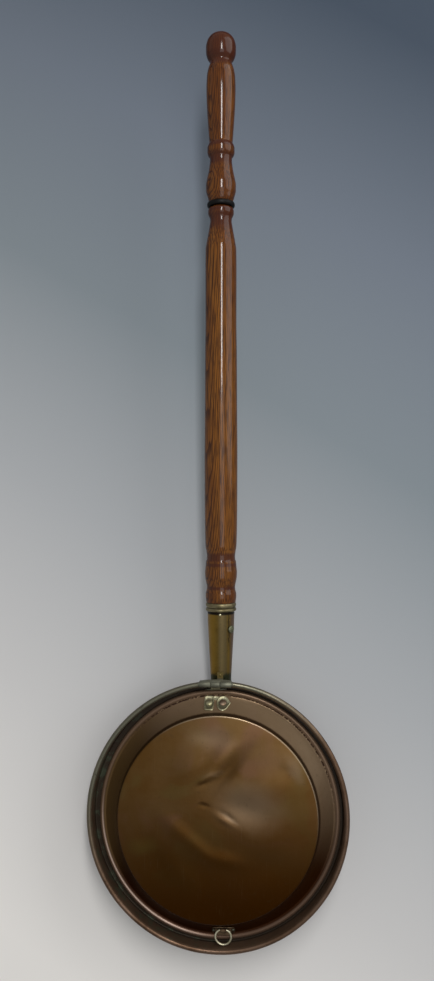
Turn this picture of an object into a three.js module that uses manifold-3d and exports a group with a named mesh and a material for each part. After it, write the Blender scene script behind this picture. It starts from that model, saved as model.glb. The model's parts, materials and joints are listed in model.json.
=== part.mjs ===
// Bed warming pan: a copper pan with a hinged, raised lid and a turned wooden handle
// in a riveted brass socket. Millimetres, +Z up, +Y along the handle, origin at the
// centre of the pan's flat base.

import * as THREE from 'three';
import { mergeVertices } from 'three/addons/utils/BufferGeometryUtils.js';
import Module from 'manifold-3d';

const wasm = await Module();
wasm.setup();

// ---------------------------------------------------------------- driving dimensions

const GAP = 0.3; // between pieces that touch
const SHEET = 1.2; // copper of the pan and the lid
const BRASS_SHEET = 1.5; // brass of the hinge, plates and socket foot

// Pan
const PAN_RIM_RADIUS = 155;
const PAN_HEIGHT = 72;
const RIM_ROLL_RADIUS = 3.1;
const RIM_ROLL_END = THREE.MathUtils.degToRad(-115);
const ROLL_SLACK = 0.45; // between a rolled edge and the wire in it
const LEDGE_DEPTH = 21.7; // from the rim's crest down to the lid's seat
const LEDGE_WIDTH = 7;
const LEDGE_FILLET = 1.5;
const WALL_TAPER = 4;
const BASE_CORNER_RADIUS = 11;

// Lid, heights measured from the groove inside its rolled rim
const LID_CLEARANCE = 5.3; // from the lid's rim to the pan's wall
const LID_ROLL_RADIUS = 3.2;
const LID_ROLL_START = THREE.MathUtils.degToRad(125);
const LID_ROLL_END = THREE.MathUtils.degToRad(-135);
const LID_OFFSET_X = 1.5; // the lid sits a little to the right in the pan
const GROOVE_DEPTH = 2.2;
const GROOVE_WIDTH = 4;
const COVE_FOOT_SLOPE = THREE.MathUtils.degToRad(28); // below level, where it meets the groove
const COVE_WIDTH = 19.2; // from the groove in to the disc's edge
const DISC_HEIGHT = 27.6;
const DISC_EDGE_RADIUS = 1.6;
const DISC_CROWN = 2;

// Hinge
const HINGE_X = -2.5;
const HINGE_LENGTH = 38;
const CENTRE_KNUCKLE_LENGTH = 11;
const BARREL_RADIUS = 3.4;
const PIN_RADIUS = 1.6;
const PIN_HEAD_RADIUS = 2.6;
const PIN_HEAD_HEIGHT = 1.4;
const STRAP_WIDTH = 25;
const STRAP_CLEARANCE = 0.8; // between the strap and the lid's rim
const STRAP_BEND_RADIUS = 2.4;
const STRAP_REACH = 5; // how far the strap runs past its rivets, inside the lid's cove
const NECK_RISE = 12; // from the lid's groove line to where the strap narrows
const CLIP_START = THREE.MathUtils.degToRad(120); // the bracket's wrap round the rim's roll
const CLIP_END = THREE.MathUtils.degToRad(-35);
const TONGUE_LAP = 0.1; // radians of the clip that the tongue's root shares
const TONGUE_WIDTH = 7;
const TONGUE_START = 3.4; // both along the handle's axis
const TONGUE_END = 11.5;

// Two-lobed plate and its rivets, placed by their distance from the lid's groove
const PLATE_INSET = 8.3;
const PLATE_SHEET = 1.3;
const LOBE_HALF_LENGTH = 7.6;
const LOBE_SPACING = 16.4;
const LOBE_TIP_ANGLE = THREE.MathUtils.degToRad(38);
const PLATE_X = -2.4;
const LEFT_LOBE_WIDTH = 11.8;
const PLATE_NECK = 5.4;
const PLATE_RIVET_RADIUS = 1.7;
const PLATE_RIVET_HEAD_RADIUS = 3.3;
const PLATE_RIVET_HEAD_HEIGHT = 1.6;

// Lifting ring and its saddle
const RING_X = 8.2;
const RING_RADIUS = 9.2;
const RING_WIRE_RADIUS = 1.2;
const RING_BAR_LENGTH = 9.4;
const RING_TILT = THREE.MathUtils.degToRad(8); // lies this far below level
const RING_SEAT_INSET = 3.7; // from the saddle's middle in to the cove's point below the ring's bar
const CURL_LENGTH = 7.6;
const CURL_SHEET = 1.2;
const SADDLE_INSET = 5.7; // from the lid's groove in to the saddle's middle
const SADDLE_WIDTH = 27;
const SADDLE_DEPTH = 10.4;
const SADDLE_RIVET_SPACING = 22.6;
const SMALL_RIVET_RADIUS = 0.9;
const SMALL_RIVET_HEAD_RADIUS = 1.6;
const SMALL_RIVET_HEAD_HEIGHT = 0.9;

// Handle: root on the pan's side, raked up towards the far end
const HANDLE_X = 2.5;
const HANDLE_DROP = 22; // from the rim's crest down to the handle's axis
const HANDLE_RAKE = THREE.MathUtils.degToRad(6.3);
const SOCKET_LENGTH = 81.5;
const SOCKET_ROOT_RADIUS = 12;
const SOCKET_MOUTH_RADIUS = 15.9;
const SOCKET_WALL = 1.6;
const SOCKET_SWELL = 0.3; // fullness over a plain taper
const SOCKET_HIDDEN_END = -16; // the tube's start, inside the saddle of its foot
const COLLAR_LENGTH = 11.9;
const COLLAR_RADIUS = 17.9;
const COLLAR_MOULDING = 0.8; // depth of its quirks
const FOOT_WIDTH = 46;
const FOOT_HEIGHT = 40;
const FOOT_CORNER_RADIUS = 9;
const FOOT_RIM_CLEARANCE = 1.4; // below the rim's roll
const FOOT_RIVET_MARGIN = 3;
const FOOT_RIVET_SPACING = 34;
const FOOT_RIVET_RADIUS = 2;
const FOOT_RIVET_HEAD_RADIUS = 3.6;
const FOOT_RIVET_HEAD_HEIGHT = 1.6;

// Turned wood, lengths along the handle's axis
const TENON_LENGTH = 60;
const BUTT_LENGTH = 54;
const BUTT_RADIUS = 18;
const BUTT_BEAD_RADIUS = 19.3;
const BUTT_NECK_RADIUS = 16.8;
const BUTT_EASING = 0.8; // how far a bead's edge lies inside its crest
const SHAFT_LENGTH = 424;
const SHAFT_RADIUS = 19.6;
const SHAFT_WAIST_RADIUS = 18.7;
const END_TURNING_LENGTH = 50;
const SHOULDER_STEP = 0.6;
const SHAFT_NECK_RADIUS = 12.1;
const END_BEAD_RADIUS = 15.2;
const JOINT_RING_LENGTH = 6;
const JOINT_RING_RADIUS = 16.8;
const STUD_LENGTH = 34;
const STUD_RADIUS = 4;
const BULB_LENGTH = 54;
const BULB_RADIUS = 17.7;
const GRIP_NECK_RADIUS = 12.3;
const GRIP_BEAD_LENGTH = 16;
const GRIP_BEAD_RADIUS = 15.4;
const GRIP_LENGTH = 101;
const GRIP_RADIUS = 18.7;
const FINIAL_NECK_RADIUS = 11.8;
const FINIAL_LENGTH = 35.4;
const FINIAL_RADIUS = 17.7;
const NAIL_RADIUS = 1.3;
const NAIL_HEAD_RADIUS = 3.4;
const NAIL_HEAD_HEIGHT = 1.8;
const NAIL_LENGTH = 9;
const HOLE_SPARE = 1; // how much deeper than a nail its hole runs
const NAIL_PLACE = 62;
const NAIL_ANGLE = THREE.MathUtils.degToRad(60); // from the top towards +X
const FRONT_PIN_RADIUS = 0.9;
const FRONT_PIN_HEAD_RADIUS = 1.5;
const FRONT_PIN_HEAD_HEIGHT = 0.8;
const FRONT_PIN_BACKSET = 2.4; // from the collar to the pin

// Smoothness of the round forms
const PAN_SEGMENTS = 40;
const HANDLE_SEGMENTS = 18;
const WIRE_SIDES = 5;
const RIVET_SEGMENTS = 8;
const KNUCKLE_SEGMENTS = 12;

// ---------------------------------------------------------------- worked-out places

const rimRollCentre = [PAN_RIM_RADIUS - RIM_ROLL_RADIUS, PAN_HEIGHT - RIM_ROLL_RADIUS];
const wallRadius = PAN_RIM_RADIUS - 2 * RIM_ROLL_RADIUS;
const ledgeHeight = PAN_HEIGHT - LEDGE_DEPTH;
const lowerWallRadius = wallRadius - LEDGE_WIDTH;
const baseRadius = lowerWallRadius - WALL_TAPER;

const lidRadius = wallRadius - LID_CLEARANCE;
const lidRollRadius = lidRadius - LID_ROLL_RADIUS;
const lidHeight = ledgeHeight + BRASS_SHEET + 2 * GAP + LID_ROLL_RADIUS;
const grooveHeight = LID_ROLL_RADIUS - GROOVE_DEPTH;
const grooveRadius = lidRollRadius - GROOVE_WIDTH;
const discRadius = grooveRadius - COVE_WIDTH;
const plateRadius = grooveRadius - PLATE_INSET;
const saddleRadius = grooveRadius - SADDLE_INSET;
const ringSeatRadius = saddleRadius - RING_SEAT_INSET;

const hingeY = rimRollCentre[0];
const hingeHeight = PAN_HEIGHT + BRASS_SHEET + 2 * GAP + BARREL_RADIUS;

const neckHeight = grooveHeight + NECK_RISE;

const handleRoot = new THREE.Vector3(HANDLE_X, PAN_RIM_RADIUS, PAN_HEIGHT - HANDLE_DROP);
const handlePlace = new THREE.Matrix4().makeRotationX(HANDLE_RAKE).setPosition(handleRoot);
const woodStart = SOCKET_LENGTH + COLLAR_LENGTH + 2 * GAP;
const shaftEnd = woodStart + BUTT_LENGTH + SHAFT_LENGTH;
const gripStart = shaftEnd + JOINT_RING_LENGTH + 2 * GAP;
const studDepth = (STUD_LENGTH - JOINT_RING_LENGTH) / 2;
const holeDepth = NAIL_LENGTH + HOLE_SPARE;

// ---------------------------------------------------------------- outline helpers

/** Points on a circle from one angle to another, both in radians. */
function arc(centre, radius, from, to, steps) {
  const points = [];
  for (let i = 0; i <= steps; i += 1) {
    const angle = from + ((to - from) * i) / steps;
    points.push([centre[0] + radius * Math.cos(angle), centre[1] + radius * Math.sin(angle)]);
  }
  return points;
}

/** A polyline whose inner corners are rounded; each corner may carry a radius as its third value. */
function rounded(corners, steps) {
  const points = [];
  corners.forEach(([x, y, radius = 0], i) => {
    if (radius === 0) {
      points.push([x, y]);
      return;
    }
    const corner = new THREE.Vector2(x, y);
    const back = new THREE.Vector2(...corners[i - 1].slice(0, 2)).sub(corner).normalize();
    const on = new THREE.Vector2(...corners[i + 1].slice(0, 2)).sub(corner).normalize();
    const half = Math.acos(THREE.MathUtils.clamp(back.dot(on), -1, 1)) / 2;
    const middle = back.clone().add(on).normalize().multiplyScalar(radius / Math.sin(half));
    const centre = corner.clone().add(middle);
    const start = corner.clone().addScaledVector(back, radius / Math.tan(half)).sub(centre);
    const end = corner.clone().addScaledVector(on, radius / Math.tan(half)).sub(centre);
    const turn = Math.atan2(start.cross(end), start.dot(end));
    points.push(...arc(centre.toArray(), radius, start.angle(), start.angle() + turn, steps));
  });
  return points;
}

/** The same path moved sideways, to its right as it is walked, with mitred corners. */
function offset(path, distance) {
  const normals = path.slice(1).map(([x, y], i) => {
    const along = new THREE.Vector2(x - path[i][0], y - path[i][1]).normalize();
    return new THREE.Vector2(along.y, -along.x);
  });
  return path.map(([x, y], i) => {
    const before = normals[Math.max(i - 1, 0)];
    const after = normals[Math.min(i, normals.length - 1)];
    const reach = distance / (1 + before.dot(after));
    return [x + (before.x + after.x) * reach, y + (before.y + after.y) * reach];
  });
}

/** Closed outline of a strip of sheet that lies between two distances to the right of a path. */
function strip(path, near, far) {
  return [...offset(path, far), ...offset(path, near).reverse()];
}

/** A half-round bead between two places along an axis, standing on the given radius. */
function bead(start, end, foot, crest, steps) {
  const points = [];
  for (let i = 0; i <= steps; i += 1) {
    const angle = Math.PI * (1 - i / steps);
    const along = (start + end) / 2 + ((end - start) / 2) * Math.cos(angle);
    points.push([foot + (crest - foot) * Math.sin(angle), along]);
  }
  return points;
}

/** Points along a smooth curve through the given [radius, place] pairs. */
function sweptCurve(through, steps) {
  const curve = new THREE.SplineCurve(through.map(([x, y]) => new THREE.Vector2(x, y)));
  return curve.getPoints(steps).map((point) => point.toArray());
}

// ---------------------------------------------------------------- solid helpers

/** Merges shared corners and drops triangles that have collapsed on an axis. */
function weld(geometry) {
  const bare = geometry.clone();
  bare.deleteAttribute('normal');
  bare.deleteAttribute('uv');
  const merged = mergeVertices(bare, 1e-4);
  const index = Array.from(merged.index.array);
  const kept = [];
  for (let i = 0; i < index.length; i += 3) {
    const [a, b, c] = index.slice(i, i + 3);
    if (a !== b && b !== c && c !== a) kept.push(a, b, c);
  }
  merged.setIndex(kept);
  return merged;
}

/** Turned or spun form about +Z, from [radius, height] points. */
function spun(profile, segments) {
  return turned(profile, segments).rotateX(Math.PI / 2);
}

/** Turned form about +Y, from [radius, place] points that close on the axis or on themselves. */
function turned(profile, segments) {
  const points = profile.map(([radius, place]) => new THREE.Vector2(radius, place));
  const first = points[0];
  const onAxis = first.x === 0 && points[points.length - 1].x === 0;
  if (!onAxis) points.push(first.clone());
  if (THREE.ShapeUtils.area(points) < 0) points.reverse();
  return weld(new THREE.LatheGeometry(points, segments));
}

/** How far the middle of a facet lies inside the true circle of a pan-sized form. */
function facetSag(radius) {
  return radius * (1 - Math.cos(Math.PI / PAN_SEGMENTS));
}

/** Ring of round wire about +Z. */
function wireHoop(centre, radius) {
  const section = arc(centre, radius, 0, 2 * Math.PI, WIRE_SIDES).slice(0, -1);
  return spun(section, PAN_SEGMENTS);
}

/** Prism of an outline in the Y-Z plane, centred on a place along X. */
function prismAcross(outline, middle, width) {
  const shape = new THREE.Shape(outline.map(([y, z]) => new THREE.Vector2(y, z)));
  const prism = new THREE.ExtrudeGeometry(shape, { depth: width, bevelEnabled: false, curveSegments: 8 });
  const turn = new THREE.Matrix4().set(0, 0, 1, 0, 1, 0, 0, 0, 0, 1, 0, 0, 0, 0, 0, 1);
  return weld(prism.applyMatrix4(turn).translate(middle - width / 2, 0, 0));
}

/** Upright prism of a shape in the X-Y plane. */
function prismUp(shape, height) {
  const prism = new THREE.ExtrudeGeometry(shape, { depth: height, bevelEnabled: false, curveSegments: 5 });
  return weld(prism);
}

/** Rectangle with round corners, centred on the origin. */
function roundedRectangle(width, height, radius) {
  const [x, y] = [width / 2 - radius, height / 2 - radius];
  const shape = new THREE.Shape();
  shape.absarc(x, y, radius, 0, Math.PI / 2);
  shape.absarc(-x, y, radius, Math.PI / 2, Math.PI);
  shape.absarc(-x, -y, radius, Math.PI, 1.5 * Math.PI);
  shape.absarc(x, -y, radius, 1.5 * Math.PI, 2 * Math.PI);
  return shape;
}

/** Tall block between two places along Y, centred on a place along X. */
function slab(middle, width, from, to) {
  const block = new THREE.BoxGeometry(width, to - from, 4 * PAN_HEIGHT);
  return block.translate(middle, (from + to) / 2, 0);
}

/** Plain round bar along X, centred on the origin. */
function barrel(radius, length) {
  return new THREE.CylinderGeometry(radius, radius, length, KNUCKLE_SEGMENTS).rotateZ(Math.PI / 2);
}

/** A geometry as a solid that can be joined and cut. */
function solid(geometry) {
  const closed = weld(geometry);
  return new wasm.Manifold(new wasm.Mesh({
    numProp: 3,
    vertProperties: new Float32Array(closed.attributes.position.array),
    triVerts: new Uint32Array(closed.index.array),
  }));
}

/** A solid back as a geometry. */
function toGeometry(body) {
  const { vertProperties, triVerts } = body.getMesh();
  const geometry = new THREE.BufferGeometry();
  geometry.setAttribute('position', new THREE.BufferAttribute(new Float32Array(vertProperties), 3));
  geometry.setIndex(new THREE.BufferAttribute(new Uint32Array(triVerts), 1));
  return geometry;
}

/** Cuts a list of tools out of a solid. */
function cutAll(body, tools) {
  return tools.reduce((rest, tool) => rest.subtract(solid(tool)), body);
}

/** Places a form turned about +Y on a seat, lifted off it along the seat's normal. */
function seated(geometry, { point, normal }, lift) {
  const turn = new THREE.Quaternion().setFromUnitVectors(new THREE.Vector3(0, 1, 0), normal);
  const at = point.clone().addScaledVector(normal, lift);
  const place = new THREE.Matrix4().compose(at, turn, new THREE.Vector3(1, 1, 1));
  return geometry.clone().applyMatrix4(place);
}

/** Domed rivet: head above place 0, shank through the grip and a domed tail below. */
function rivet(shank, head, height, grip) {
  const dome = (sign, at) => [
    [head, at],
    [head * 0.75, at + sign * height * 0.7],
    [0, at + sign * height],
  ];
  const tail = dome(-1, -grip).reverse();
  return turned([...tail, [shank, -grip], [shank, 0], ...dome(1, 0)], RIVET_SEGMENTS);
}

/** Tool that clears the shank of a rivet or nail on both sides of its seat. */
function shankHole(seat, shank) {
  const tool = new THREE.CylinderGeometry(shank + GAP, shank + GAP, 2 * holeDepth, RIVET_SEGMENTS);
  return seated(tool, seat, 0);
}

/** Named mesh with the look of one material. */
function piece(name, geometry, look) {
  const faceted = geometry.toNonIndexed();
  faceted.computeVertexNormals();
  const mesh = new THREE.Mesh(faceted, new THREE.MeshStandardMaterial(look));
  mesh.name = name;
  return mesh;
}

const LOOKS = {
  copper: { color: 0x6b4526, roughness: 0.38, metalness: 1 },
  brass: { color: 0x8a7742, roughness: 0.42, metalness: 1 },
  brightBrass: { color: 0xcfc391, roughness: 0.3, metalness: 1 },
  iron: { color: 0x4a4640, roughness: 0.6, metalness: 1 },
  wood: { color: 0x8c4518, roughness: 0.22, metalness: 0 },
  ebonised: { color: 0x14100e, roughness: 0.45, metalness: 0 },
};

// ---------------------------------------------------------------- pan

/** Inside face of the pan's sheet, from the middle of the base to the end of the rim's roll. */
function panInside() {
  const side = rounded([
    [0, SHEET],
    [baseRadius, SHEET, BASE_CORNER_RADIUS],
    [lowerWallRadius, ledgeHeight, LEDGE_FILLET],
    [wallRadius, ledgeHeight, LEDGE_FILLET],
    [wallRadius, rimRollCentre[1]],
  ], 3);
  return [...side, ...arc(rimRollCentre, RIM_ROLL_RADIUS, Math.PI, RIM_ROLL_END, 6).slice(1)];
}

/** The pan's side with plain corners, which the socket's foot follows. */
function panSide() {
  return [
    [baseRadius, SHEET],
    [lowerWallRadius, ledgeHeight],
    [wallRadius, ledgeHeight],
    [wallRadius, rimRollCentre[1]],
  ];
}

function panBody() {
  const sheet = solid(spun(strip(panInside(), 0, SHEET), PAN_SEGMENTS));
  return toGeometry(cutAll(sheet, footRivetSeats().map((seat) => shankHole(seat, FOOT_RIVET_RADIUS))));
}

function panRimWire() {
  return wireHoop(rimRollCentre, RIM_ROLL_RADIUS - SHEET - ROLL_SLACK);
}

// ---------------------------------------------------------------- handle socket

/** Outer radius of the socket at a place along the handle, fullest a little before its mouth. */
function socketRadius(place) {
  const share = place / SOCKET_LENGTH;
  const taper = THREE.MathUtils.lerp(SOCKET_ROOT_RADIUS, SOCKET_MOUTH_RADIUS, share);
  return taper + SOCKET_SWELL * Math.sin(Math.PI * share ** 2);
}

/** Radius and place along the socket between two places, set in from its outside. */
function socketLine(from, to, inset) {
  const points = [];
  for (let i = 0; i <= 4; i += 1) {
    const place = THREE.MathUtils.lerp(from, to, i / 4);
    points.push([socketRadius(place) - inset, place]);
  }
  return points;
}

/** Seat on the socket or the wood, turned away from the top by an angle towards +X. */
function handleSeat(place, angle, lift) {
  const normal = new THREE.Vector3(Math.sin(angle), 0, Math.cos(angle));
  const point = new THREE.Vector3(0, place, 0).addScaledVector(normal, socketRadius(place) + lift);
  return { point, normal };
}

/** The same seat in the frame of the whole object. */
function placedSeat({ point, normal }) {
  return {
    point: point.clone().applyMatrix4(handlePlace),
    normal: normal.clone().transformDirection(handlePlace),
  };
}

/** Seats of the foot's rivets on the inside face of the pan: two beside the socket, one below. */
function footRivetSeats() {
  const beside = PAN_HEIGHT - 2 * RIM_ROLL_RADIUS - FOOT_RIVET_HEAD_RADIUS - FOOT_RIVET_MARGIN;
  const below = footBottom() + FOOT_RIVET_HEAD_RADIUS + FOOT_RIVET_MARGIN;
  return [
    wallSeat(HANDLE_X - FOOT_RIVET_SPACING / 2, beside),
    wallSeat(HANDLE_X + FOOT_RIVET_SPACING / 2, beside),
    wallSeat(HANDLE_X, below),
  ];
}

function footBottom() {
  return PAN_HEIGHT - 2 * RIM_ROLL_RADIUS - FOOT_RIM_CLEARANCE - FOOT_HEIGHT;
}

/** Point and outward normal on the inside face of the pan's side, on the handle's side. */
function wallSeat(x, z) {
  const rise = (z - SHEET) / (ledgeHeight - SHEET);
  const lean = rise < 1 ? Math.atan2(WALL_TAPER, ledgeHeight - SHEET) : 0;
  const radius = rise < 1 ? THREE.MathUtils.lerp(baseRadius, lowerWallRadius, rise) : wallRadius;
  const around = Math.asin(x / radius);
  return {
    point: new THREE.Vector3(x, radius * Math.cos(around), z),
    normal: new THREE.Vector3(
      Math.sin(around) * Math.cos(lean),
      Math.cos(around) * Math.cos(lean),
      -Math.sin(lean),
    ),
  };
}

/** Saddle foot that follows the pan's side, with a rounded outline. */
function socketFoot() {
  const saddle = solid(spun(strip(panSide(), SHEET + GAP, SHEET + GAP + BRASS_SHEET), PAN_SEGMENTS));
  const outline = roundedRectangle(FOOT_WIDTH, FOOT_HEIGHT, FOOT_CORNER_RADIUS);
  const middle = footBottom() + FOOT_HEIGHT / 2;
  const reach = prismUp(outline, PAN_RIM_RADIUS).rotateX(Math.PI / 2);
  return saddle.intersect(solid(reach.translate(HANDLE_X, PAN_RIM_RADIUS, middle)));
}

function handleSocket() {
  const outside = socketLine(SOCKET_HIDDEN_END, SOCKET_LENGTH, 0);
  const inside = socketLine(SOCKET_HIDDEN_END, SOCKET_LENGTH, SOCKET_WALL);
  const tube = turned([...outside, ...inside.reverse()], HANDLE_SEGMENTS).applyMatrix4(handlePlace);
  const pan = spun([[0, SHEET], ...offset(panSide(), SHEET + GAP), [0, rimRollCentre[1]]], PAN_SEGMENTS);
  const joined = solid(tube).subtract(solid(pan)).add(socketFoot());
  return toGeometry(cutAll(joined, [
    ...footRivetSeats().map((seat) => shankHole(seat, FOOT_RIVET_RADIUS)),
    shankHole(placedSeat(tongueRivetSeat()), SMALL_RIVET_RADIUS),
    shankHole(placedSeat(nailSeat()), NAIL_RADIUS),
    shankHole(placedSeat(frontPinSeat()), FRONT_PIN_RADIUS),
  ]));
}

function socketRivet(seat) {
  const grip = SHEET + BRASS_SHEET + 3 * GAP + facetSag(PAN_RIM_RADIUS);
  const form = rivet(FOOT_RIVET_RADIUS, FOOT_RIVET_HEAD_RADIUS, FOOT_RIVET_HEAD_HEIGHT, grip);
  return seated(form, seat, SHEET + BRASS_SHEET + 2 * GAP);
}

/** Moulded ring round the tenon, between the socket's mouth and the wood's shoulder. */
function socketCollar() {
  const start = SOCKET_LENGTH + GAP;
  const end = start + COLLAR_LENGTH;
  const bore = SOCKET_MOUTH_RADIUS - SOCKET_WALL;
  const flat = COLLAR_RADIUS - COLLAR_MOULDING;
  return turned([
    [bore, start],
    [flat, start],
    ...bead(start + COLLAR_MOULDING, start + COLLAR_LENGTH / 2, flat, COLLAR_RADIUS, 4),
    [COLLAR_RADIUS - COLLAR_MOULDING / 2, end - COLLAR_LENGTH / 3],
    [COLLAR_RADIUS - COLLAR_MOULDING / 2, end - COLLAR_MOULDING],
    [flat, end],
    [bore, end],
  ], HANDLE_SEGMENTS);
}

function nailSeat() {
  return handleSeat(NAIL_PLACE, NAIL_ANGLE, GAP);
}

function frontPinSeat() {
  return handleSeat(SOCKET_LENGTH - FRONT_PIN_BACKSET, 0, GAP);
}

/** Nail with a domed head above its seat and a pointed shank below it. */
function nail(shank, head, height, length) {
  return turned([
    [0, -length],
    [shank, -length * 0.8],
    [shank, 0],
    [head, 0],
    [head * 0.8, height * 0.6],
    [0, height],
  ], RIVET_SEGMENTS);
}

function sideNail() {
  return seated(nail(NAIL_RADIUS, NAIL_HEAD_RADIUS, NAIL_HEAD_HEIGHT, NAIL_LENGTH), nailSeat(), 0);
}

function frontPin() {
  const form = nail(FRONT_PIN_RADIUS, FRONT_PIN_HEAD_RADIUS, FRONT_PIN_HEAD_HEIGHT, NAIL_LENGTH);
  return seated(form, frontPinSeat(), 0);
}

// ---------------------------------------------------------------- turned wood

/** Butt of the shaft: a bead at the collar, a quirk, a fuller bead and a neck. */
function buttLine() {
  const at = (share) => woodStart + BUTT_LENGTH * share;
  return sweptCurve([
    [BUTT_RADIUS - BUTT_EASING, at(0)],
    [BUTT_RADIUS, at(0.13)],
    [BUTT_NECK_RADIUS, at(0.33)],
    [BUTT_BEAD_RADIUS, at(0.66)],
    [BUTT_BEAD_RADIUS - BUTT_EASING, at(0.86)],
    [BUTT_NECK_RADIUS, at(0.95)],
  ], 10);
}

/** Long swelling of the shaft up to the shoulder of its end turning. */
function shaftLine() {
  const start = woodStart + BUTT_LENGTH;
  const shoulder = shaftEnd - END_TURNING_LENGTH;
  const at = (share) => THREE.MathUtils.lerp(start, shoulder, share);
  return sweptCurve([
    [BUTT_NECK_RADIUS, at(0)],
    [SHAFT_WAIST_RADIUS, at(0.07)],
    [SHAFT_RADIUS, at(0.33)],
    [SHAFT_WAIST_RADIUS, at(0.77)],
    [SHAFT_WAIST_RADIUS, at(1)],
  ], 8);
}

/** End of the shaft: a shoulder drawn in to a neck, then a bead against the joint ring. */
function shaftEndLine() {
  const at = (share) => shaftEnd - END_TURNING_LENGTH * (1 - share);
  const neck = sweptCurve([
    [SHAFT_WAIST_RADIUS - SHOULDER_STEP, at(0.08)],
    [(SHAFT_WAIST_RADIUS + SHAFT_NECK_RADIUS) / 2, at(0.38)],
    [SHAFT_NECK_RADIUS, at(0.68)],
  ], 4);
  return [...neck, ...bead(at(0.7), at(0.98), SHAFT_NECK_RADIUS, END_BEAD_RADIUS, 4)];
}

function handleShaft() {
  const tenonStart = woodStart - TENON_LENGTH;
  const tenon = socketLine(tenonStart, SOCKET_LENGTH, SOCKET_WALL + GAP);
  const neck = SOCKET_MOUTH_RADIUS - SOCKET_WALL - GAP;
  const wood = solid(turned([
    [0, tenonStart],
    ...tenon,
    [neck, woodStart],
    ...buttLine(),
    ...shaftLine(),
    ...shaftEndLine(),
    [SHAFT_NECK_RADIUS, shaftEnd],
    [STUD_RADIUS + GAP, shaftEnd],
    [STUD_RADIUS + GAP, shaftEnd - studDepth],
    [0, shaftEnd - studDepth],
  ], HANDLE_SEGMENTS));
  return toGeometry(cutAll(wood, [
    shankHole(nailSeat(), NAIL_RADIUS),
    shankHole(frontPinSeat(), FRONT_PIN_RADIUS),
  ]));
}

function jointStud() {
  const middle = shaftEnd + GAP + JOINT_RING_LENGTH / 2;
  return new THREE.CylinderGeometry(STUD_RADIUS, STUD_RADIUS, STUD_LENGTH, RIVET_SEGMENTS)
    .translate(0, middle, 0);
}

function jointRing() {
  const start = shaftEnd + GAP;
  const end = start + JOINT_RING_LENGTH;
  const foot = JOINT_RING_RADIUS - JOINT_RING_LENGTH / 4;
  return turned([
    [STUD_RADIUS + GAP, start],
    ...bead(start, end, foot, JOINT_RING_RADIUS, 4),
    [STUD_RADIUS + GAP, end],
  ], HANDLE_SEGMENTS);
}

/** Bulb beyond the joint ring, drawn in to a neck. */
function bulbLine() {
  const at = (share) => gripStart + BULB_LENGTH * share;
  return sweptCurve([
    [END_BEAD_RADIUS - BUTT_EASING, at(0)],
    [(END_BEAD_RADIUS + BULB_RADIUS) / 2, at(0.18)],
    [BULB_RADIUS, at(0.39)],
    [(GRIP_NECK_RADIUS + BULB_RADIUS) / 2, at(0.64)],
    [GRIP_NECK_RADIUS, at(0.96)],
  ], 8);
}

/** Long grip that swells towards the hand's end, and falls to the finial's neck. */
function gripLine() {
  const start = gripStart + BULB_LENGTH + GRIP_BEAD_LENGTH;
  const at = (share) => start + GRIP_LENGTH * share;
  return sweptCurve([
    [GRIP_NECK_RADIUS + BUTT_EASING, at(0.02)],
    [(GRIP_NECK_RADIUS + GRIP_RADIUS) / 2 + BUTT_EASING, at(0.26)],
    [GRIP_RADIUS, at(0.6)],
    [GRIP_RADIUS - 1.5 * BUTT_EASING, at(0.8)],
    [FINIAL_NECK_RADIUS, at(0.99)],
  ], 8);
}

/** Ball finial, flattened a little where it leaves the neck. */
function finialLine() {
  const start = gripStart + BULB_LENGTH + GRIP_BEAD_LENGTH + GRIP_LENGTH;
  const at = (share) => start + FINIAL_LENGTH * share;
  return sweptCurve([
    [FINIAL_NECK_RADIUS, at(0.01)],
    [FINIAL_RADIUS * 0.9, at(0.22)],
    [FINIAL_RADIUS, at(0.6)],
    [FINIAL_RADIUS * 0.68, at(0.9)],
    [0, at(1)],
  ], 8);
}

function gripSection() {
  const beadStart = gripStart + BULB_LENGTH;
  return turned([
    [0, gripStart + studDepth],
    [STUD_RADIUS + GAP, gripStart + studDepth],
    [STUD_RADIUS + GAP, gripStart],
    ...bulbLine(),
    ...bead(beadStart, beadStart + GRIP_BEAD_LENGTH, GRIP_NECK_RADIUS, GRIP_BEAD_RADIUS, 4),
    ...gripLine(),
    ...finialLine(),
  ], HANDLE_SEGMENTS);
}

// ---------------------------------------------------------------- hinge bracket

/** Point on the socket's top line, lifted off it, as [y, z] in the frame of the whole object. */
function socketTop(place, lift) {
  const { point } = placedSeat(handleSeat(place, 0, lift));
  return [point.y, point.z];
}

function tongueRivetSeat() {
  return handleSeat(TONGUE_END - TONGUE_WIDTH / 2, 0, GAP + BRASS_SHEET + GAP);
}

/** Tongue that leaves the clip, turns outwards over the socket and is riveted to it. */
function bracketTongue() {
  const [start] = arc(rimRollCentre, RIM_ROLL_RADIUS + GAP, CLIP_END + TONGUE_LAP, CLIP_END, 1);
  const [bendY, bendZ] = socketTop(TONGUE_START, GAP);
  const face = rounded([start, [bendY, bendZ, BRASS_SHEET], socketTop(TONGUE_END, GAP)], 3);
  return prismAcross(strip(face, 0, -BRASS_SHEET), HANDLE_X, TONGUE_WIDTH);
}

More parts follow.
